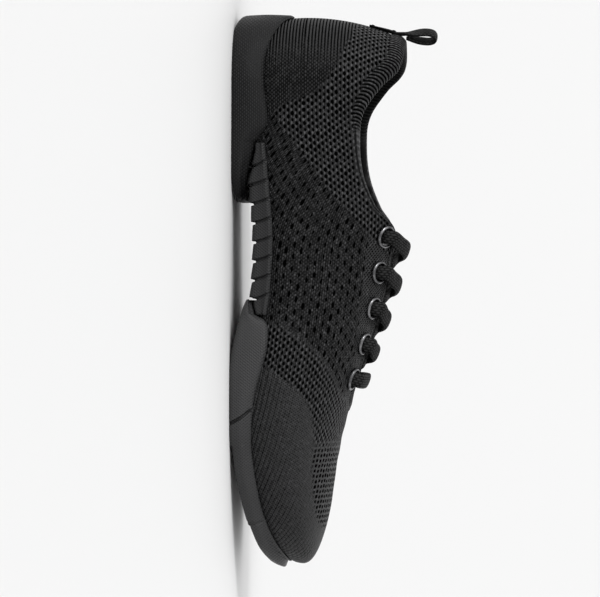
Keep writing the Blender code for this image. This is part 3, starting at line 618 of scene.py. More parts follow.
def cord_material(name, light):
    """Woven cord: slanting plaits along it, from the point values along and across."""
    g = Graph(name, (light,) * 3, 0.7, Specular_IOR_Level=0.2)
    plait = g.holes(g.value("along"), g.value("across"), *PLAITS, vary=0.25, soft=0.7)
    height = g.noise(1500.0) * 0.3 + plait * 0.4 + 0.2
    g.shade(Base_Color=g.colours(g.ramp(height, 0.2, 0.9), (0.2 * light,) * 3, (1.3 * light,) * 3),
            Specular_IOR_Level=g.ramp(height, 0.25, 0.95, 0.0, 0.26))
    return g.finish(height, 0.6)


def metal_material():
    """Gunmetal eyelets, a little brighter where their plating is rubbed."""
    g = Graph("eyelet_metal", (0.2, 0.2, 0.205), 0.3, Metallic=1.0)
    rub = g.ramp(g.noise(420.0, 3.0), 0.35, 0.7)
    g.shade(Base_Color=g.colours(rub, METAL_DARK, METAL_LIGHT), Roughness=g.ramp(rub, 0.0, 1.0, 0.4, 0.28))
    return g.material


def cloth_material(name, pitch, light):
    """Plain woven cloth, from the places in the object's own frame."""
    g = Graph(name, (light,) * 3, 0.85, Sheen_Weight=0.05)
    x, y, _ = g.axes()
    height = g.noise(1300.0) * 0.3 + g.wave(x, pitch) * g.wave(y, pitch) * 0.7
    g.shade(Base_Color=g.colours(g.ramp(height, 0.1, 0.9), (0.4 * light,) * 3, (1.2 * light,) * 3))
    return g.finish(height, 0.3)


KNIT = knit_material()
LINING = lining_material()
# Lit and shaded copies of one rubber: the forefoot's is lightened with painted light, the heel's darkened
# with painted shade, and the bridge's stays near the plain tone
LIT_RUBBER = rubber_material("rubber", False, 1.4)
BRIDGE_RUBBER = rubber_material("bridge_rubber", False, 0.95)
SHADED_HEEL_RUBBER = rubber_material("shaded_heel_rubber", True, 0.68)
CORD = cord_material("lace", 0.014)
WEBBING = cord_material("webbing", 0.011)
METAL = metal_material()
FOOTBED = cloth_material("footbed", 1.3, 0.016)
TONGUE_CLOTH = cloth_material("tongue_cloth", 1.6, 0.014)


# Upper

ROWS = 84
EDGE_ROWS = 6
INNER_ROWS = 26
GIRTH_STEPS = 80
EDGE_ROUND = 0.7
LIP_WIDTH = 6.5
LIP_HEIGHT = 0.9
BINDING_WIDTH = 2.6
BINDING_HEIGHT = 0.35
SEAM_DEPTH = 0.3
NO_EDGE = 99.0
EYELET_HOLE_R = EYELET_OUTER_R - 0.7
# Creases of the vamp: distance from the heel, width and depth
CREASES = ((178.0, 4.0, 0.35), (188.0, 5.0, 0.45), (199.0, 4.5, 0.3))
CREASE_BOW = 7
ANKLE_CREASE = (40.0, 7.0, 0.5)

# Front limit of the heel's ribbed knit: distance from the heel at a height
HEEL_ZONE = ((0.0, 48.0), (15.7, 45.0), (19.5, 42.7), (25.0, 39.0), (30.0, 38.0), (39.0, 33.0), (45.0, 24.0),
             (50.0, 14.0), (57.5, -4.0), (90.0, -40.0))
# Open mesh of the rear quarter: lowest height at a distance from the heel
REAR_ZONE = ((0.0, 14.0), (43.0, 19.0), (64.0, 33.0), (80.0, 45.0), (92.0, 56.0), (104.0, 66.0),
             (130.0, 99.0))
# Toe zone: height under the ridge of its upper limit at a distance from the heel
TOE_ZONE = ((140.0, 70.0), (152.0, 52.0), (160.0, 35.0), (170.0, 20.0), (182.0, 12.5), (204.0, 8.5),
            (222.0, 5.0), (234.0, -1.0), (246.0, -6.0))
# Rear limit of the ball's hole band: distance from the heel at a height under the ridge
BAND_ZONE = ((-5.0, 176.0), (4.0, 170.0), (12.0, 160.0), (20.0, 152.0), (30.0, 145.0), (45.0, 138.0),
             (70.0, 134.0))
# Distances from the heel over which a zone comes in or goes out
TOE_IN = (140.0, 152.0)
STRIP_IN = (186.0, 200.0)
STRIP_OUT = (234.0, 226.0)
NET_IN = (96.0, 101.0)
NET_NARROWS = (130.0, 165.0)
LIP_OUT = (54.0, 44.0)
LIP_FADE = (54.0, 12.0)
# Heights over the feather edge between which the toe's ribs grow deep, and how deep
RIBS_FADE = (32.0, 6.0)
RIBS_DEEPEST = 0.48
NET_WIDTH = 21.0
NET_LOSS = 8.0
NET_SHARE = 0.85


def run_length(points):
    """Distance along rows of points from the first of them."""
    steps = np.linalg.norm(np.diff(points, axis=-2), axis=-1)
    return np.concatenate([np.zeros((*steps.shape[:-1], 1)), np.cumsum(steps, axis=-1)], axis=-1)


def past(value, limit, width):
    """0 short of a limit and 1 past it, changing over a width centred on it."""
    return smooth((value - limit) / width + 0.5)


def upper_values(u, side, angle, points):
    """Point values that the knit's material reads: places on the wall in millimetres, zone shares, and the
    share of its painted highlights.
    """
    fan = np.linspace(TOP, -TUCK_ANGLE, GIRTH_STEPS)
    girth = run_length(last_points(u[:, None], side, fan[None, :]))
    down = np.stack([np.interp(-angle[i], -fan, girth[i]) for i in range(len(u))])
    around = run_length(np.stack(outline(u, side), axis=-1))
    along = np.broadcast_to(u[:, None], angle.shape)
    up = girth[:, -1:] - down
    z = points[..., 2]
    below = (bulge_height(u) + crown_rise(u))[:, None] - z
    open_part = u[:, None] < THROAT_END + 2.0
    from_edge = np.where(open_part, down - down[:, -1:], NO_EDGE)
    toe = past(below, through(TOE_ZONE, along), 3.0) * ramp(along, *TOE_IN)
    front = past(along, through(BAND_ZONE, below), 5.0)
    strip = ramp(along, *STRIP_IN)
    net_width = NET_WIDTH - NET_LOSS * ramp(along, *NET_NARROWS)
    net = ramp(from_edge, net_width, net_width - 4.0) * ramp(along, *NET_IN) * open_part
    heel = past(through(HEEL_ZONE, z), along, 2.0)
    width = lip_width(along)
    return {
        "along": along,
        "down": down,
        "around": np.broadcast_to(around[:, None], angle.shape),
        "up": up,
        "from_edge": from_edge,
        "rib_depth": RIBS_DEEPEST * ramp(up, *RIBS_FADE),
        "zone_mid": 1 - front,
        "zone_band": front * (1 - toe) * (1 - strip),
        "zone_strip": front * (1 - toe) * strip * ramp(along, *STRIP_OUT),
        "zone_net": net * NET_SHARE,
        "zone_rear": past(z, through(REAR_ZONE, along), 4.0),
        "zone_heel": heel,
        "zone_edge": ramp(from_edge, width, width - 0.8) * open_part,
        "zone_lip": ramp(along, *LIP_OUT),
        # Share of the knit's painted highlights, less on the heel's ribs and the toe
        "glint": (1 - heel) * (1 - toe * 0.7),
    }


def swelling(distance, width, height):
    """Soft swelling of a height round the place where distance is 0."""
    return height * np.exp(-((distance / width) ** 2))


def crease_depth(u, angle):
    """Soft troughs where the knit gives: across the vamp at the ball and behind the ankle."""
    degrees = np.degrees(angle)
    bow = CREASE_BOW * np.cos(angle)
    flex = sum(swelling(u - place - bow, width, depth) for place, width, depth in CREASES)
    place, width, depth = ANKLE_CREASE
    ankle = swelling(u - place - 0.2 * degrees, width, depth)
    return flex * ramp(degrees, 15.0, 55.0) + ankle * ramp(degrees, 0.0, 12.0)


def lip_width(u):
    """Width of the edge's band: a padded lip at the heel, a narrow binding along the rest."""
    return between(BINDING_WIDTH, LIP_WIDTH, ramp(u, *LIP_FADE))


def edge_relief(u, from_edge):
    """How far the band along collar and throat stands out, with a shallow seam below it."""
    width = lip_width(u)
    swell = np.clip(1 - ((from_edge - width / 2) / (width / 2)) ** 2, 0.0, 1.0)
    height = between(BINDING_HEIGHT, LIP_HEIGHT, ramp(u, *LIP_FADE))
    seam = swelling(from_edge - width - 0.4, 0.6, SEAM_DEPTH)
    return np.where(from_edge < NO_EDGE, height * np.sqrt(swell) - seam, 0.0)


def upper_side(us, side):
    """One half of the wall as a grid: up the outside, over the edge and down the inside."""
    top = edge_angle(us, side)[:, None]
    u = us[:, None]
    angle = -TUCK_ANGLE + (top + TUCK_ANGLE) * np.linspace(0, 1, ROWS + 1)
    values = upper_values(us, side, angle, last_points(u, side, angle))
    outer = last_points(u, side, angle, crease_depth(u, angle) - edge_relief(u, values["from_edge"]))
    rise = np.linspace(1, 0, INNER_ROWS + 1)
    inner_angle = -TUCK_ANGLE + (top + TUCK_ANGLE) * rise
    inner = last_points(u, side, inner_angle, wall_thickness(u, rise))
    start = outer[:, -1]
    end = inner[:, 0]
    upwards = start - outer[:, -2]
    upwards = upwards / np.maximum(np.linalg.norm(upwards, axis=-1, keepdims=True), 1e-6)
    half = np.linalg.norm(start - end, axis=-1, keepdims=True) / 2
    edge = []
    for turn in np.linspace(0, math.pi, EDGE_ROWS + 2)[1:-1]:
        middle = (start + end) / 2 + (start - end) / 2 * math.cos(turn)
        edge.append(middle + upwards * half * EDGE_ROUND * math.sin(turn))
    inner_values = upper_values(us, side, inner_angle, inner)
    for name, grid in values.items():
        over = np.repeat(grid[:, -1:], EDGE_ROWS, axis=1)
        values[name] = np.concatenate([grid, over, inner_values[name]], axis=1)
    return np.concatenate([outer, np.stack(edge, axis=1), inner], axis=1), values


def eyelet_station(k):
    return between(EYELET_FIRST, EYELET_LAST, k / (EYELETS_A_SIDE - 1)) * LENGTH


def eyelet_places():
    """(name, station, side, angle) of each eyelet, from the toe end up."""
    places = []
    for k in range(EYELETS_A_SIDE):
        u = eyelet_station(k)
        for side, word in SIDES:
            places.append((f"eyelet_{word}_{k + 1}", u, side, float(edge_angle(u, side, EYELET_SETBACK))))
    return places


def open_holes(mesh):
    """Opens the wall inside each eyelet, with round rims outside and inside and a face between them."""
    bm = bmesh.new()
    bm.from_mesh(mesh)
    reach = EYELET_HOLE_R * MM
    for _, u, side, angle in eyelet_places():
        centre = Vector((last_points(u, side, angle) + OFFSET) * MM)
        axis = Vector(surface_normal(u, side, angle))
        gone = []
        for face in bm.faces:
            away = face.calc_center_median() - centre
            if away.length < 2 * reach and (away - axis * away.dot(axis)).length < reach:
                gone.append(face)
        rim = {v for f in gone for v in f.verts}
        bmesh.ops.delete(bm, geom=gone, context="FACES")
        rim = [v for v in rim if v.is_valid]
        for vert in rim:
            away = vert.co - centre
            height = axis * away.dot(axis)
            vert.co = centre + height + (away - height).normalized() * reach
        edges = {e for v in rim for e in v.link_edges if e.is_boundary}
        bmesh.ops.bridge_loops(bm, edges=list(edges))
    bm.to_mesh(mesh)
    bm.free()


def build_upper():
    us = last_stations(0.95, 34)
    count = len(us)
    columns = ROWS + 1 + EDGE_ROWS + INNER_ROWS + 1
    points = []
    faces = []
    inside = []
    values = {}

    def add_face(corners, j):
        faces.append(corners)
        inside.append(int(j > ROWS + EDGE_ROWS // 2))

    for k, side in enumerate((LATERAL, MEDIAL)):
        grid, side_values = upper_side(us, side)
        cells = grid_faces(count, columns, k * count * columns).reshape(count - 1, columns - 1, 4)
        for i in range(count - 1):
            open_here = us[i + 1] <= THROAT_END + 1e-6
            for j in range(columns - 1):
                if open_here or not ROWS <= j <= ROWS + EDGE_ROWS:
                    add_face(cells[i, j], j)
            add_face([cells[i, 0][0], cells[i, 0][3], cells[i, -1][2], cells[i, -1][1]], columns)
        points.append(grid)
        for name, value in side_values.items():
            values.setdefault(name, []).append(value)
    tip = int(np.searchsorted(us, THROAT_END + 1e-6)) - 1
    for j in range(ROWS, ROWS + EDGE_ROWS + 1):
        a = tip * columns + j
        b = a + count * columns
        add_face([a, a + 1, b + 1, b], j)
    obj = put_mesh("upper_knit", points, faces, (KNIT, LINING), values=values, slots=inside)
    open_holes(obj.data)
    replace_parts(obj, "upper")


# Soles: rows are (distance from the heel, height) where nothing else is said, as in the solids

SOLE_LIP = 2.4
SOLE_FLARE = 4.6
HEEL_FRONT = 82.0
FOREFOOT_REAR = 126.0
BRIDGE_REAR = 57.0
BRIDGE_FRONT = 133.0
BRIDGE_RIBS = 9
BRIDGE_THICK = 6.0
BRIDGE_LIP = 3.4
HEEL_RIM = ((0, 26.0), (2, 22.0), (9, 17.5), (20, 14.6), (32, 14.6), (44, 16.0), (50, 15.6), (54, 13.0),
            (58, 10.5))
# Share of the feather edge's height that the heel's bed keeps towards its nose
HEEL_BED_FRONT = ((54, 1.0), (64, 0.42), (72, 0.08), (82, 0.0))
HEEL_BOTTOM = ((-2, 3.6), (2, 1.4), (7, 0.0), (40, 0.0), (70, 0.0), (82, 1.4))
HEEL_NOSE_TOP = 6.4
HEEL_NOSE_ROUND = 14.0
FORE_REAR_ROUND = 6.5
FORE_RIM = ((133, 11.6), (136, 15.4), (140, 17.0), (150, 16.4), (158, 14.2), (166, 12.0), (176, 10.4),
            (190, 9.6), (200, 10.2), (212, 11.8), (224, 14.2), (236, 18.4), (246, 24.2))
FORE_BOTTOM = ((126, 7.0), (136, 4.0), (148, 1.3), (158, 0.0), (174, 0.0), (188, 0.0), (196, 0.8),
               (207, 2.6), (224, 6.0), (236, 10.2), (243, 14.8), (246, 18.6))
FORE_WEDGE_TOP = 9.3
FORE_WEDGE_END = 140.0
# Cuts in the forefoot's side: distance from the heel, depth and width
SIDE_CUTS = ((176.0, 1.8, 1.5), (226.0, 0.5, 1.2))
CUT_SLANT = 6.0
# Steps in its underside: distance from the heel and height
BOTTOM_STEPS = ((191.0, 0.7), (227.0, 0.6))
GROOVE_WIDTH = 1.8
GROOVE_DEPTH = 1.2
# Oval grooves of the undersides: centre, half length and half width
HEEL_OVALS = ((38.0, -0.5, 24.0, 17.0), (36.5, -0.5, 19.5, 12.5))
PIVOT_OVALS = ((172.0, 1.0, 15.0, 19.0), (172.0, 1.0, 8.0, 11.0))
OVAL_COLUMNS = 150
PLAIN_COLUMNS = 40
RIM_ROUND = 1.6
LIP_AT_ENDS = 0.5
LIP_HEEL_END = 22.0
LIP_TOE_END = 26.0
SIDE_ROWS = 14
CUT_SOFT = 0.5
CUT_REACH = 18.0
BOTTOM_STEP_REACH = 14
BRIDGE_FLARE = 2.6
# Ribs: shares of the pitch for the gap and its edge, depths, and slant towards the toe
RIB_GAP = 0.09
RIB_GAP_EDGE = 0.03
RIB_GAP_DEPTH = 1.4
RIB_SCALE = 0.55
RIB_SLANT = 2.2
RIB_SLANT_REACH = 8
REST_REACH = 2.5


def skin_points(u, side, z, offset):
    points = last_points(u, side, angle_at_height(u, z))
    nx, ny = plan_normal(u, side)
    return np.stack([points[..., 0] + nx * offset, points[..., 1] + ny * offset, z + 0.0 * u], axis=-1)


def corner_round(distance, radius):
    left = np.maximum(radius - distance, 0.0)
    return radius - np.sqrt(radius**2 - left**2)


def curve_through(rows, count):
    """Smooth curve over each column of rows, an array of (row, ..., 3), as count rows."""
    at = np.linspace(0, len(rows) - 1, count)
    flat = np.asarray(rows).reshape(len(rows), -1)
    curve = np.stack([through(list(enumerate(values)), at) for values in flat.T], axis=-1)
    return curve.reshape(count, *np.shape(rows)[1:])


def nothing(us, level=0.0):
    return 0.0 * us


class Sole:
    """A sole's heights along the foot, and the profile that they give its side."""

    def __init__(self, bed, rim, bottom, draw_in=nothing, cut=nothing, shift=nothing, flare=SOLE_FLARE):
        self.bed, self.rim, self.bottom = bed, rim, bottom
        self.draw_in, self.cut, self.shift = draw_in, cut, shift
        self.flare = flare

    def lip(self, us, side, level, share, drop=0.0):
        """Row at a level of the rim's inside, or at a share of the way out over its top."""
        z = between(self.bed(us), self.rim(us), level) - drop
        ends = np.minimum(smooth(us / LIP_HEEL_END), smooth((LENGTH - us) / LIP_TOE_END))
        width = SOLE_LIP * between(LIP_AT_ENDS, 1.0, ends)
        return skin_points(us, side, z, GAP + width * share - self.draw_in(us) - share * self.cut(us))

    def wall(self, us, side, level, out):
        """Row at a level of the side, 0 at the rim and 1 at the underside, out beyond the flare."""
        inset = self.draw_in(us) + self.cut(us)
        points = skin_points(us, side, floor_height(us), self.flare + out - inset)
        points[:, 2] = between(self.rim(us), self.bottom(us), level)
        points[:, 0] += self.shift(us, level)
        return points

    def profile(self, us, side):
        """Rows from the foot bed over the rounded rim and down the side to the underside's edge."""
        rows = [self.lip(us, side, level, 0.0) for level in (0.0, 0.5, 0.97)]
        for share in (0.15, 0.4, 0.65, 0.85):
            rows.append(self.lip(us, side, 1.0, share, RIM_ROUND * (1 - math.cos(share * TOP))))
        rim = self.lip(us, side, 1.0, 1.0, RIM_ROUND)
        low = self.wall(us, side, 0.84, 0.2)
        rows.extend(curve_through([rim, self.wall(us, side, 0.5, 0.5), low], SIDE_ROWS))
        corner = self.wall(us, side, 1.0, 0.1)
        end = self.wall(us, side, 1.0, -1.7)
        for t in (0.25, 0.5, 0.75, 1.0):
            rows.append(low * (1 - t) ** 2 + corner * 2 * t * (1 - t) + end * t * t)
        return np.stack(rows, axis=1)


def oval_share(x, y, oval):
    """0 at an oval's centre, 1 on its line."""
    cx, cy, half_length, half_width = oval
    return np.hypot((x - cx) / half_length, (y - cy) / half_width)


def oval_groove(x, y, ovals):
    """Depth of round-bottomed oval grooves at places on an underside."""
    depth = 0.0
    for oval in ovals:
        cx, cy, half_length, half_width = oval
        out = oval_share(x, y, oval)
        slope = np.hypot((x - cx) / half_length**2, (y - cy) / half_width**2) / np.maximum(out, 0.01)
        away = np.abs(out - 1) / np.maximum(slope, 0.001)
        depth = np.maximum(depth, GROOVE_DEPTH * smooth(1.25 - away / GROOVE_WIDTH))
    return depth


def herringbone(x, y):
    """Depth of a zigzag tread at places on an underside, in step with the pattern of its rubber."""
    row = (y + OFFSET[1] - TREAD_ROW) / (2 * TREAD_ROW)
    zigzag = np.abs(row % 1 * 2 * TREAD_ROW - TREAD_ROW)
    ridge = 0.5 + 0.5 * np.cos(2 * math.pi / TREAD_PITCH * (zigzag + x + OFFSET[0]))
    return TREAD_DEPTH * (1 - ridge)


def build_sole(name, us, sole, ovals, material, panel_only=False):
    """Closed sole from its profiles on both sides, with a fine grid across its underside.

    A zigzag tread is cut outside the first oval, or fine dots cover the panel inside the last one.
    """
    lateral = sole.profile(us, LATERAL)
    medial = sole.profile(us, MEDIAL)
    columns = OVAL_COLUMNS if ovals else PLAIN_COLUMNS
    share = np.linspace(0, 1, columns + 1)[1:-1]
    across = lateral[:, -1][:, None] * (1 - share[:, None]) + medial[:, -1][:, None] * share[:, None]
    x = across[..., 0]
    y = across[..., 1]
    cut = oval_groove(x, y, ovals)
    tread = np.zeros(x.shape)
    if panel_only:
        tread = ramp(oval_share(x, y, ovals[-1]), 0.96, 0.90)
    elif ovals:
        from_side = np.minimum(share, 1 - share) * columns
        tread = ramp(oval_share(x, y, ovals[0]), 1.1, 1.18) * ramp(from_side, 4, 8)
        tread = tread * smooth((us[-1] - x) / TREAD_FADE - 1)
        cut = np.maximum(cut, tread * herringbone(x, y))
    across[..., 2] += cut
    grid = np.concatenate([lateral, across, medial[:, ::-1]], axis=1)
    rows, columns = grid.shape[:2]
    faces = tube_faces(rows, columns)
    for i, is_open in ((0, us[0] > 0), (rows - 1, us[-1] < LENGTH)):
        if is_open:
            grid[i, :, 0] = grid[i, 0, 0]
            faces.append([i * columns + k for k in range(columns)])
    under = np.zeros((rows, columns))
    under[:, lateral.shape[1] : -lateral.shape[1]] = tread
    return put_mesh(name, grid, faces, (material,), smooth_angle=42, values={"under": under})


def heel_bed(us):
    return between(HEEL_NOSE_TOP, floor_height(us) - GAP, through(HEEL_BED_FRONT, us))


def heel_rim(us):
    lip = np.maximum(through(HEEL_RIM, us), heel_bed(us))
    return np.where(us >= BRIDGE_REAR - GAP, heel_bed(us), lip)


def fore_bed(us):
    return between(floor_height(us) - GAP, FORE_WEDGE_TOP, ramp(us, FORE_WEDGE_END, FOREFOOT_REAR))


def fore_rim(us):
    lip = np.maximum(through(FORE_RIM, us), fore_bed(us))
    return np.where(us <= BRIDGE_FRONT + GAP, fore_bed(us), lip)


def fore_bottom(us):
    height = np.maximum(through(FORE_BOTTOM, us), 0.0)
    for place, step in BOTTOM_STEPS:
        height = height + step * (us > place) * ramp(us, place + BOTTOM_STEP_REACH, place)
    return height


def side_cut(us):
    depth = 0.0 * us
    for place, deep, width in SIDE_CUTS:
        depth = np.maximum(depth, deep * past(width / 2, np.abs(us - place), CUT_SOFT))
    return depth


def cut_shift(us, level):
    near = np.maximum(1 - np.abs(us - SIDE_CUTS[0][0]) / CUT_REACH, 0.0)
    return CUT_SLANT * level * smooth(near)


def rib_cut(us):
    """Depth under the ribs' crowns.

    Each rib rises towards the toe like a scale, then drops into a narrow gap.
    """
    pitch = (BRIDGE_FRONT - BRIDGE_REAR) / BRIDGE_RIBS
    phase = np.mod((us - BRIDGE_REAR) / pitch, 1.0)
    gap = ramp(np.minimum(phase, 1 - phase), RIB_GAP, RIB_GAP - RIB_GAP_EDGE)
    gap = gap * ((us > BRIDGE_REAR + 3) & (us < BRIDGE_FRONT - 3))
    return np.maximum(RIB_GAP_DEPTH * gap, RIB_SCALE * (1 - phase) ** 1.5)


def rib_shift(us, level):
    from_ends = smooth((us - BRIDGE_REAR) / RIB_SLANT_REACH) * smooth((BRIDGE_FRONT - us) / RIB_SLANT_REACH)
    return RIB_SLANT * level * from_ends


def bridge_bottom(us):
    free = floor_height(us) - BRIDGE_THICK
    on_heel = np.where(us <= HEEL_FRONT + REST_REACH, heel_bed(np.minimum(us, HEEL_FRONT)) + GAP, -1.0)
    on_fore = np.where(us >= FOREFOOT_REAR - REST_REACH, fore_bed(np.maximum(us, FOREFOOT_REAR)) + GAP, -1.0)
    resting = np.maximum(free, np.maximum(on_heel, on_fore))
    room = np.maximum(floor_height(us) - GAP - resting - 1.0, 0.0)
    return resting + np.minimum(1.3 * rib_cut(us), room)


def build_soles():
    round_heel = HEEL_ROUND * (1 - np.cos(np.linspace(0, TOP, 80)))
    nose = HEEL_FRONT - HEEL_NOSE_ROUND * (1 - np.sin(np.linspace(0, TOP, 22)))
    lip_end = BRIDGE_REAR - GAP
    us = [round_heel, spaced(HEEL_ROUND, lip_end - 1.2, 0.5)[1:], spaced(lip_end, nose[0], 0.5)[:-1], nose]
    heel = Sole(heel_bed, heel_rim, lambda u: np.maximum(through(HEEL_BOTTOM, u), 0.0),
                lambda u: corner_round(HEEL_FRONT - u, HEEL_NOSE_ROUND))
    obj = build_sole("heel_cup", np.concatenate(us), heel, HEEL_OVALS, SHADED_HEEL_RUBBER, panel_only=True)
    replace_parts(obj, "heel_sole")

    rear = FOREFOOT_REAR + FORE_REAR_ROUND * (1 - np.cos(np.linspace(0, TOP, 18)))
    lip_start = BRIDGE_FRONT + GAP
    toe_start = LENGTH - TOE_TOP_ROUND
    toe = toe_start + TOE_TOP_ROUND * np.sin(np.linspace(0, TOP, 52))
    cuts = [spaced(place - 2, place + 2, 0.12) for place, _, _ in SIDE_CUTS]
    steps = [np.array([place, place + 0.4]) for place, _ in BOTTOM_STEPS]
    body = spaced(lip_start + 0.2, toe_start, 0.55)[:-1]
    us = np.unique(np.concatenate([rear, [lip_start], body, toe, *cuts, *steps]))
    us = us[np.concatenate([[True], np.diff(us) > 0.05])]
    us[-1] = LENGTH
    fore = Sole(fore_bed, fore_rim, fore_bottom, lambda u: corner_round(u - FOREFOOT_REAR, FORE_REAR_ROUND),
                side_cut, cut_shift)
    obj = build_sole("forefoot_pod", us, fore, PIVOT_OVALS, LIT_RUBBER)
    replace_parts(obj, "forefoot_sole")

    bridge = Sole(lambda u: floor_height(u) - GAP, lambda u: floor_height(u) + BRIDGE_LIP, bridge_bottom,
                  cut=lambda u: 0.75 * rib_cut(u), shift=rib_shift, flare=BRIDGE_FLARE)
    us = spaced(BRIDGE_REAR, BRIDGE_FRONT, 0.25)
    obj = build_sole("ribbed_bridge", us, bridge, (), BRIDGE_RUBBER)
    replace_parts(obj, "arch_bridge")


# Insole and tongue

TONGUE_TOP = 0.362 * LENGTH
TONGUE_END = 0.735 * LENGTH
TONGUE_OVERLAP = 11.0
TONGUE_GAP = 0.8
TONGUE_DROOP = 4.0
TONGUE_SHORT = 6.0
TONGUE_ROUND = 9.0
TONGUE_ROLL = 2.2
TONGUE_EDGE = 0.93
TONGUE_THINNEST = 0.06
TONGUE_ROWS = 90
TONGUE_COLUMNS = 81
# Rings of the footbed from its underside's edge to its top: height and distance in from its edge
FOOTBED_RINGS = ((0.0, 0.0), (1.6, 0.0), (2.7, 0.0), (3.2, 0.25), (3.5, 0.9), (3.4, 2.4), (3.1, 5.0),
                 (2.7, 9.0), (2.5, 14.0))


def build_insole():
    """Foam footbed with a rounded edge and a slight dish."""
    us = last_stations(1.4, 26)
    low = floor_height(us)
    sides = []
    for side in (LATERAL, MEDIAL):
        rings = []
        for rise, pull_in in FOOTBED_RINGS:
            inset = WALL + INSOLE_GAP + pull_in
            points = last_points(us, side, angle_at_height(us, low + rise), inset)
            points[:, 2] = low + rise
            rings.append(points)
        sides.append(np.stack(rings, axis=1))
    middle = (sides[0][:, -1:] + sides[1][:, -1:]) / 2
    grid = np.concatenate([sides[0], middle, sides[1][:, ::-1]], axis=1)
    obj = put_mesh("footbed", grid, tube_faces(*grid.shape[:2]), (FOOTBED,))
    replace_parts(obj, "insole")


def tongue_angle(us, side):
    inside = np.clip(us, CORNER * LENGTH, THROAT_END - THROAT_END_HALF)
    half = throat_half(inside) + TONGUE_OVERLAP
    ridge = column("ridge", us) * BALL_WIDTH
    return np.arccos(np.minimum(half / np.abs(outline(us, side)[1] - ridge), 1.0))


def build_tongue():
    """Padded tongue under the throat, with a round top and a rolled edge all round."""
    share = np.linspace(-1, 1, TONGUE_COLUMNS)
    run = np.linspace(0, 1, TONGUE_ROWS) ** 1.15
    start = TONGUE_TOP + TONGUE_SHORT + TONGUE_ROUND * np.abs(share) ** 2.2
    us = between(start, TONGUE_END, run[:, None])
    end_in = np.minimum(us - start, TONGUE_END - us)
    end_full = arch(1 - np.minimum(end_in / TONGUE_ROLL, 1.0))
    edge_in = np.maximum((np.abs(share) - TONGUE_EDGE) / (1 - TONGUE_EDGE), 0.0)
    full = np.maximum(end_full * arch(edge_in), TONGUE_THINNEST)
    droop = TONGUE_DROOP * (1 - arch(1 - np.minimum((us - start) / TONGUE_DROOP, 1.0)))
    middle = WALL + TONGUE_GAP + TONGUE_THICK / 2 + droop
    layers = []
    for face in (-1, 1):
        depth = middle + face * full * TONGUE_THICK / 2
        halves = []
        for side, half in ((LATERAL, share <= 0), (MEDIAL, share > 0)):
            angle = TOP - (TOP - tongue_angle(us[:, half], side)) * np.abs(share[half])
            halves.append(last_points(us[:, half], side, angle, depth[:, half]))
        layers.append(np.concatenate(halves, axis=1))
    grid = np.concatenate([layers[0], layers[1][:, ::-1]], axis=1)
    rows, columns = grid.shape[:2]
    faces = tube_faces(rows, columns)
    for i in (0, rows - 1):
        for k in range(len(share) - 1):
            a = i * columns + k
            b = i * columns + columns - 1 - k
            faces.append([a, a + 1, b - 1, b])
    obj = put_mesh("padded_tongue", grid, faces, (TONGUE_CLOTH,))
    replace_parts(obj, "tongue")


# Eyelets and lace

EYELET_BARREL_R = 4.4
EYELET_SEAT = GAP + 0.12
EYELET_ROLL_LIFT = 0.2
EYELET_ROLL = 0.72
EYELET_SEGMENTS = 48
LACE_SEAT = 1.9
LACE_ON_TONGUE = -2.3
LACE_OVER = 1.7
LACE_UNDER = -1.35
LACE_SHORT = 4.0
BAR_CLEAR = 7.0
LACE_SIDES = 20
LACE_SQUARE = 0.8
# Lace up through an eyelet: height, distance to the throat, lean, width and thickness
THROUGH_EYELET = ((-2.9, 0.2, 1.0, 6.0, 4.3), (-0.6, 0.3, 1.0, 6.1, 4.2), (1.5, 0.9, 0.75, 6.3, 3.5),
                  (3.1, 2.9, 0.1, 6.8, 2.9))
# Lace under the far edge: distance from the edge, depth, width and thickness
UNDER_EDGE = ((1.0, 1.9, 6.8, 1.6), (4.0, 2.4, 6.2, 0.6), (7.0, 2.4, 5.6, 0.5))
FAR_EDGE = -1.6
# Shares of a crossing between which it sinks to the tongue, and half width of its hump
LACE_SINKS = (0.25, 0.75)
HUMP_WIDTH = 0.22


def build_eyelets():
    """Rolled metal rings, each standing for its solid."""
    middle = (EYELET_OUTER_R + EYELET_INNER_R) / 2
    half = (EYELET_OUTER_R - EYELET_INNER_R) / 2
    roll = [(middle + half * math.cos(t), EYELET_SEAT + EYELET_ROLL_LIFT + EYELET_ROLL * math.sin(t))
            for t in np.linspace(0, math.pi, 11)]
    profile = [(EYELET_BARREL_R, GAP - WALL), (EYELET_BARREL_R, EYELET_SEAT), (EYELET_OUTER_R, EYELET_SEAT),
               *roll, (EYELET_INNER_R, GAP - WALL)]
    turns = np.linspace(0, 2 * math.pi, EYELET_SEGMENTS, endpoint=False)
    for name, u, side, angle in eyelet_places():
        axis = surface_normal(u, side, angle)
        right = unit(np.cross(axis, (0.0, 0.0, 1.0)))
        forward = np.cross(axis, right)
        spokes = np.cos(turns)[:, None] * right + np.sin(turns)[:, None] * forward
        points = [last_points(u, side, angle) + spokes * r + axis * h for r, h in profile]
        grid = np.stack(points + points[:1], axis=0)
        grid = np.concatenate([grid, grid[:, :1]], axis=1)
        obj = put_mesh(f"ring_{name}", grid, grid_faces(*grid.shape[:2]), (METAL,), smooth_angle=60)
        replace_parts(obj, name)


def lace_place(u, side, angle, height):
    """Middle of the lace, and the wall's normal, with the lace's underside at a height over the wall."""
    if angle > TOP:
        side = -side
        angle = math.pi - angle
    normal = surface_normal(u, side, min(angle, TOP - 0.01))
    return last_points(u, side, angle) + normal * (height + LACE_THICK / 2), normal


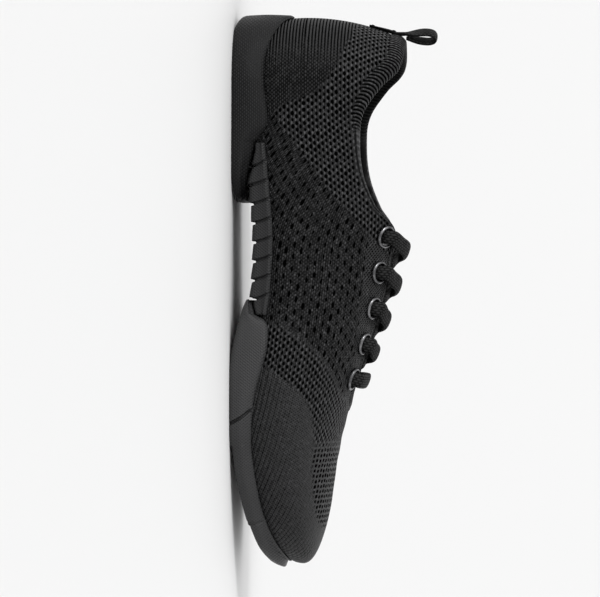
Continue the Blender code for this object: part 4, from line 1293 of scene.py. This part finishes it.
def lace_route(start_u, side, end_u, end_height, hump, far):
    """Places from under one eyelet, up through it, over the edge and across to the far edge or eyelet.

    Each place is (middle, normal, width, thickness).
    """
    start_angle = float(edge_angle(start_u, side, EYELET_SETBACK))
    centre = last_points(start_u, side, start_angle)
    up = surface_normal(start_u, side, start_angle)
    ahead = lace_place(start_u, side, start_angle + 0.12, 0.0)[0]
    towards = unit(ahead - lace_place(start_u, side, start_angle, 0.0)[0])
    route = []
    for height, along, lean, width, thick in THROUGH_EYELET:
        normal = up * (1 - lean) - towards * lean
        route.append((centre + up * height + towards * along, normal, width, thick))
    end_angle = math.pi - float(edge_angle(end_u, -side, far))
    for t in np.linspace(0.2, 1.0, 11):
        height = between(LACE_SEAT, end_height, ramp(t, *LACE_SINKS)) + swelling(t - 0.5, HUMP_WIDTH, hump)
        angle = between(start_angle, end_angle, t)
        middle, normal = lace_place(between(start_u, end_u, t), side, angle, height)
        route.append((middle, normal, LACE_WIDTH, LACE_THICK))
    return route


def under_edge(route, end_u, side):
    """Carries a route on under the far side's edge, flattened between wall and tongue."""
    for back, depth, width, thick in UNDER_EDGE:
        angle = float(edge_angle(end_u, -side, back))
        normal = surface_normal(end_u, -side, angle)
        route.append((last_points(end_u, -side, angle) - normal * depth, normal, width, thick))
    return route


def sweep(name, route, material, steps=96):
    """Woven strip along a route, with point values along and across it."""
    rows = np.array([[*middle, *normal, width, thick] for middle, normal, width, thick in route])
    middles, normals, widths, thicks = np.split(curve_through(rows, steps), (3, 6, 7), axis=1)
    along = unit(np.gradient(middles, axis=0))
    up = unit(normals - along * np.sum(normals * along, axis=1, keepdims=True))
    across = np.cross(along, up)
    turns = np.linspace(0, 2 * math.pi, LACE_SIDES + 1)
    flat, high = (np.sign(wave) * np.abs(wave) ** LACE_SQUARE for wave in (np.cos(turns), np.sin(turns)))
    grid = (middles[:, None] + across[:, None] * (widths / 2 * flat)[..., None]
            + up[:, None] * (thicks / 2 * high)[..., None])
    faces = grid_faces(steps, LACE_SIDES + 1).tolist()
    for i in (0, steps - 1):
        faces.append([i * (LACE_SIDES + 1) + k for k in range(LACE_SIDES)])
    values = {"along": np.repeat(run_length(middles), LACE_SIDES + 1), "across": widths / 2 * flat}
    return put_mesh(name, grid, faces, (material,), values=values)


def build_laces():
    """One bar at the toe end and four crossings, run through the eyelets."""
    # The bar's two halves stop near the middle, where one strip runs on through both
    bottom = eyelet_station(0)
    out = lace_route(bottom, LATERAL, bottom, LACE_SEAT, 0.0, EYELET_SETBACK)[:10]
    back = lace_route(bottom, MEDIAL, bottom, LACE_SEAT, 0.0, EYELET_SETBACK)[:9]
    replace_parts(sweep("lace_bottom_bar", out + back[::-1], CORD), "lace_bar")
    for k in range(1, EYELETS_A_SIDE):
        start = eyelet_station(k)
        end = eyelet_station(k - 1) - (BAR_CLEAR if k == 1 else LACE_SHORT)
        for (side, word), over in zip(SIDES, (LACE_OVER, LACE_UNDER)):
            route = lace_route(start, side, end, LACE_ON_TONGUE, over, FAR_EDGE)
            strand = sweep(f"lace_{word}_{k}", under_edge(route, end, side), CORD)
            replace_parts(strand, f"lace_cross_{k}")


# Pull loop

LOOP_WIDTH = 9.0
LOOP_THICK = 1.8
LOOP_FOOT = 60.0
LOOP_FOOT_THICK = 0.9
LOOP_LEAN = math.radians(2)
LOOP_TURN = math.radians(22)
LOOP_TURN_START = 2.0
LOOP_TURN_REACH = 8.0
LOOP_TOP = HEEL_HEIGHT - 4.0
# Drop-shaped loop above the sewn leg: (distance along its axis, distance towards the toe)
LOOP_FORM = ((3.5, -0.1), (7.5, -0.5), (11.5, -1.1), (14.8, -1.1), (16.9, -0.3), (17.6, 1.1), (16.9, 2.4),
             (14.6, 3.1), (11.0, 2.9), (7.6, 2.3), (4.6, 1.8))
TACK_WIDTH = 1.5
TACK_THICK = 0.5
# Bar tacks: height, and thickness of the webbing there
TACKS = ((LOOP_FOOT + 1.6, LOOP_FOOT_THICK), (LOOP_TOP - 1.0, LOOP_THICK))


def heel_back(z):
    """The middle of the heel's back at a height."""
    return last_points(0.0, LATERAL, float(angle_at_height(np.float64(0.0), z)))[0]


def build_pull_loop():
    """Webbing strip: a leg sewn up the back of the heel, and a loop above the collar, sewn down to it."""
    path = []
    thicks = []
    for z in np.linspace(LOOP_FOOT, LOOP_TOP, 7):
        thick = between(LOOP_FOOT_THICK, LOOP_THICK, ramp(z, LOOP_FOOT, LOOP_TOP))
        path.append(np.array([heel_back(z) - thick / 2, 0.0, z]))
        thicks.append(thick)
    foot = path[-1]
    axis = np.array([math.sin(LOOP_LEAN), 0.0, math.cos(LOOP_LEAN)])
    forward = np.array([math.cos(LOOP_LEAN), 0.0, -math.sin(LOOP_LEAN)])
    for along, ahead in LOOP_FORM:
        path.append(foot + axis * along + forward * ahead)
        thicks.append(LOOP_THICK)
    path = np.array(path)
    normals = np.cross(np.gradient(path, axis=0), (0.0, 1.0, 0.0))
    pivot = foot + forward
    route = []
    for place, normal, thick in zip(path, normals, thicks):
        turn = LOOP_TURN * smooth((place[2] - LOOP_TOP - LOOP_TURN_START) / LOOP_TURN_REACH)
        turned = Matrix.Rotation(turn, 3, "Z")
        middle = np.array(turned @ Vector(place - pivot)) + pivot
        route.append((middle, np.array(turned @ Vector(normal)), LOOP_WIDTH, thick))
    obj = sweep("webbing_loop", route, WEBBING, 110)
    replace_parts(obj, "pull_loop")
    for k, (height, thick) in enumerate(TACKS):
        skin = heel_back(height) - thick
        out = (-1.0, 0.0, 0.3)
        across = np.linspace(-0.4, 0.4, 9) * LOOP_WIDTH
        route = [((skin, y, height), out, TACK_WIDTH, TACK_THICK) for y in across]
        tack = sweep(f"bar_tack_{k + 1}", route, CORD, 40)


build_upper()
build_soles()
build_insole()
build_tongue()
build_eyelets()
build_laces()
build_pull_loop()


# Stage, light and camera

FLOOR_SHADE = 0.76
SKY_POWER = 0.93
KEY_POWER = 2.0
FRAME_HEIGHT = 269.0
VIEW_CENTRE = np.array([126.4, 0.0, 28.4])
VIEW_DISTANCE = 2.2
VIEW_ELEVATION = math.radians(4.0)
FLOOR_REACH = 30.0
KEY_FROM = (-0.7, -0.55, 0.48)
KEY_SPREAD = math.radians(22.0)


def build_stage():
    mesh = bpy.data.meshes.new("floor")
    corners = [(x * FLOOR_REACH, y * FLOOR_REACH, 0) for x, y in ((-1, -1), (1, -1), (1, 1), (-1, 1))]
    mesh.from_pydata(corners, [], [(0, 1, 2, 3)])
    mesh.materials.append(Graph("floor", (FLOOR_SHADE,) * 3, 0.6).material)
    floor = add_object("floor", mesh)


def build_light():
    """Even light from a white sky, and one soft light from the heel's outer side."""
    world = bpy.data.worlds.new("studio")
    world.use_nodes = True
    sky = world.node_tree.nodes["Background"]
    sky.inputs[0].default_value = (1.0, 1.0, 1.0, 1.0)
    sky.inputs[1].default_value = SKY_POWER
    bpy.context.scene.world = world
    key = bpy.data.lights.new("key", "SUN")
    key.energy = KEY_POWER
    key.angle = KEY_SPREAD
    obj = add_object("key", key)
    obj.rotation_euler = Vector(KEY_FROM).to_track_quat("Z", "Y").to_euler()


def build_camera():
    """Side view from the outer side, rolled a quarter turn so that the toe points down."""
    camera = bpy.data.cameras.new("camera")
    camera.sensor_fit = "VERTICAL"
    camera.sensor_height = 24.0
    camera.lens = camera.sensor_height * VIEW_DISTANCE / (FRAME_HEIGHT * MM)
    camera.clip_end = 100.0
    back = Vector((0.0, -math.cos(VIEW_ELEVATION), math.sin(VIEW_ELEVATION)))
    up = Vector((-1.0, 0.0, 0.0))
    right = up.cross(back)
    turn = Matrix((right, up, back)).transposed().to_4x4()
    obj = add_object("camera", camera)
    obj.matrix_world = Matrix.Translation(Vector((VIEW_CENTRE + OFFSET) * MM) + back * VIEW_DISTANCE) @ turn
    bpy.context.scene.camera = obj


build_stage()
build_light()
build_camera()
bpy.context.scene.view_settings.view_transform = "Standard"
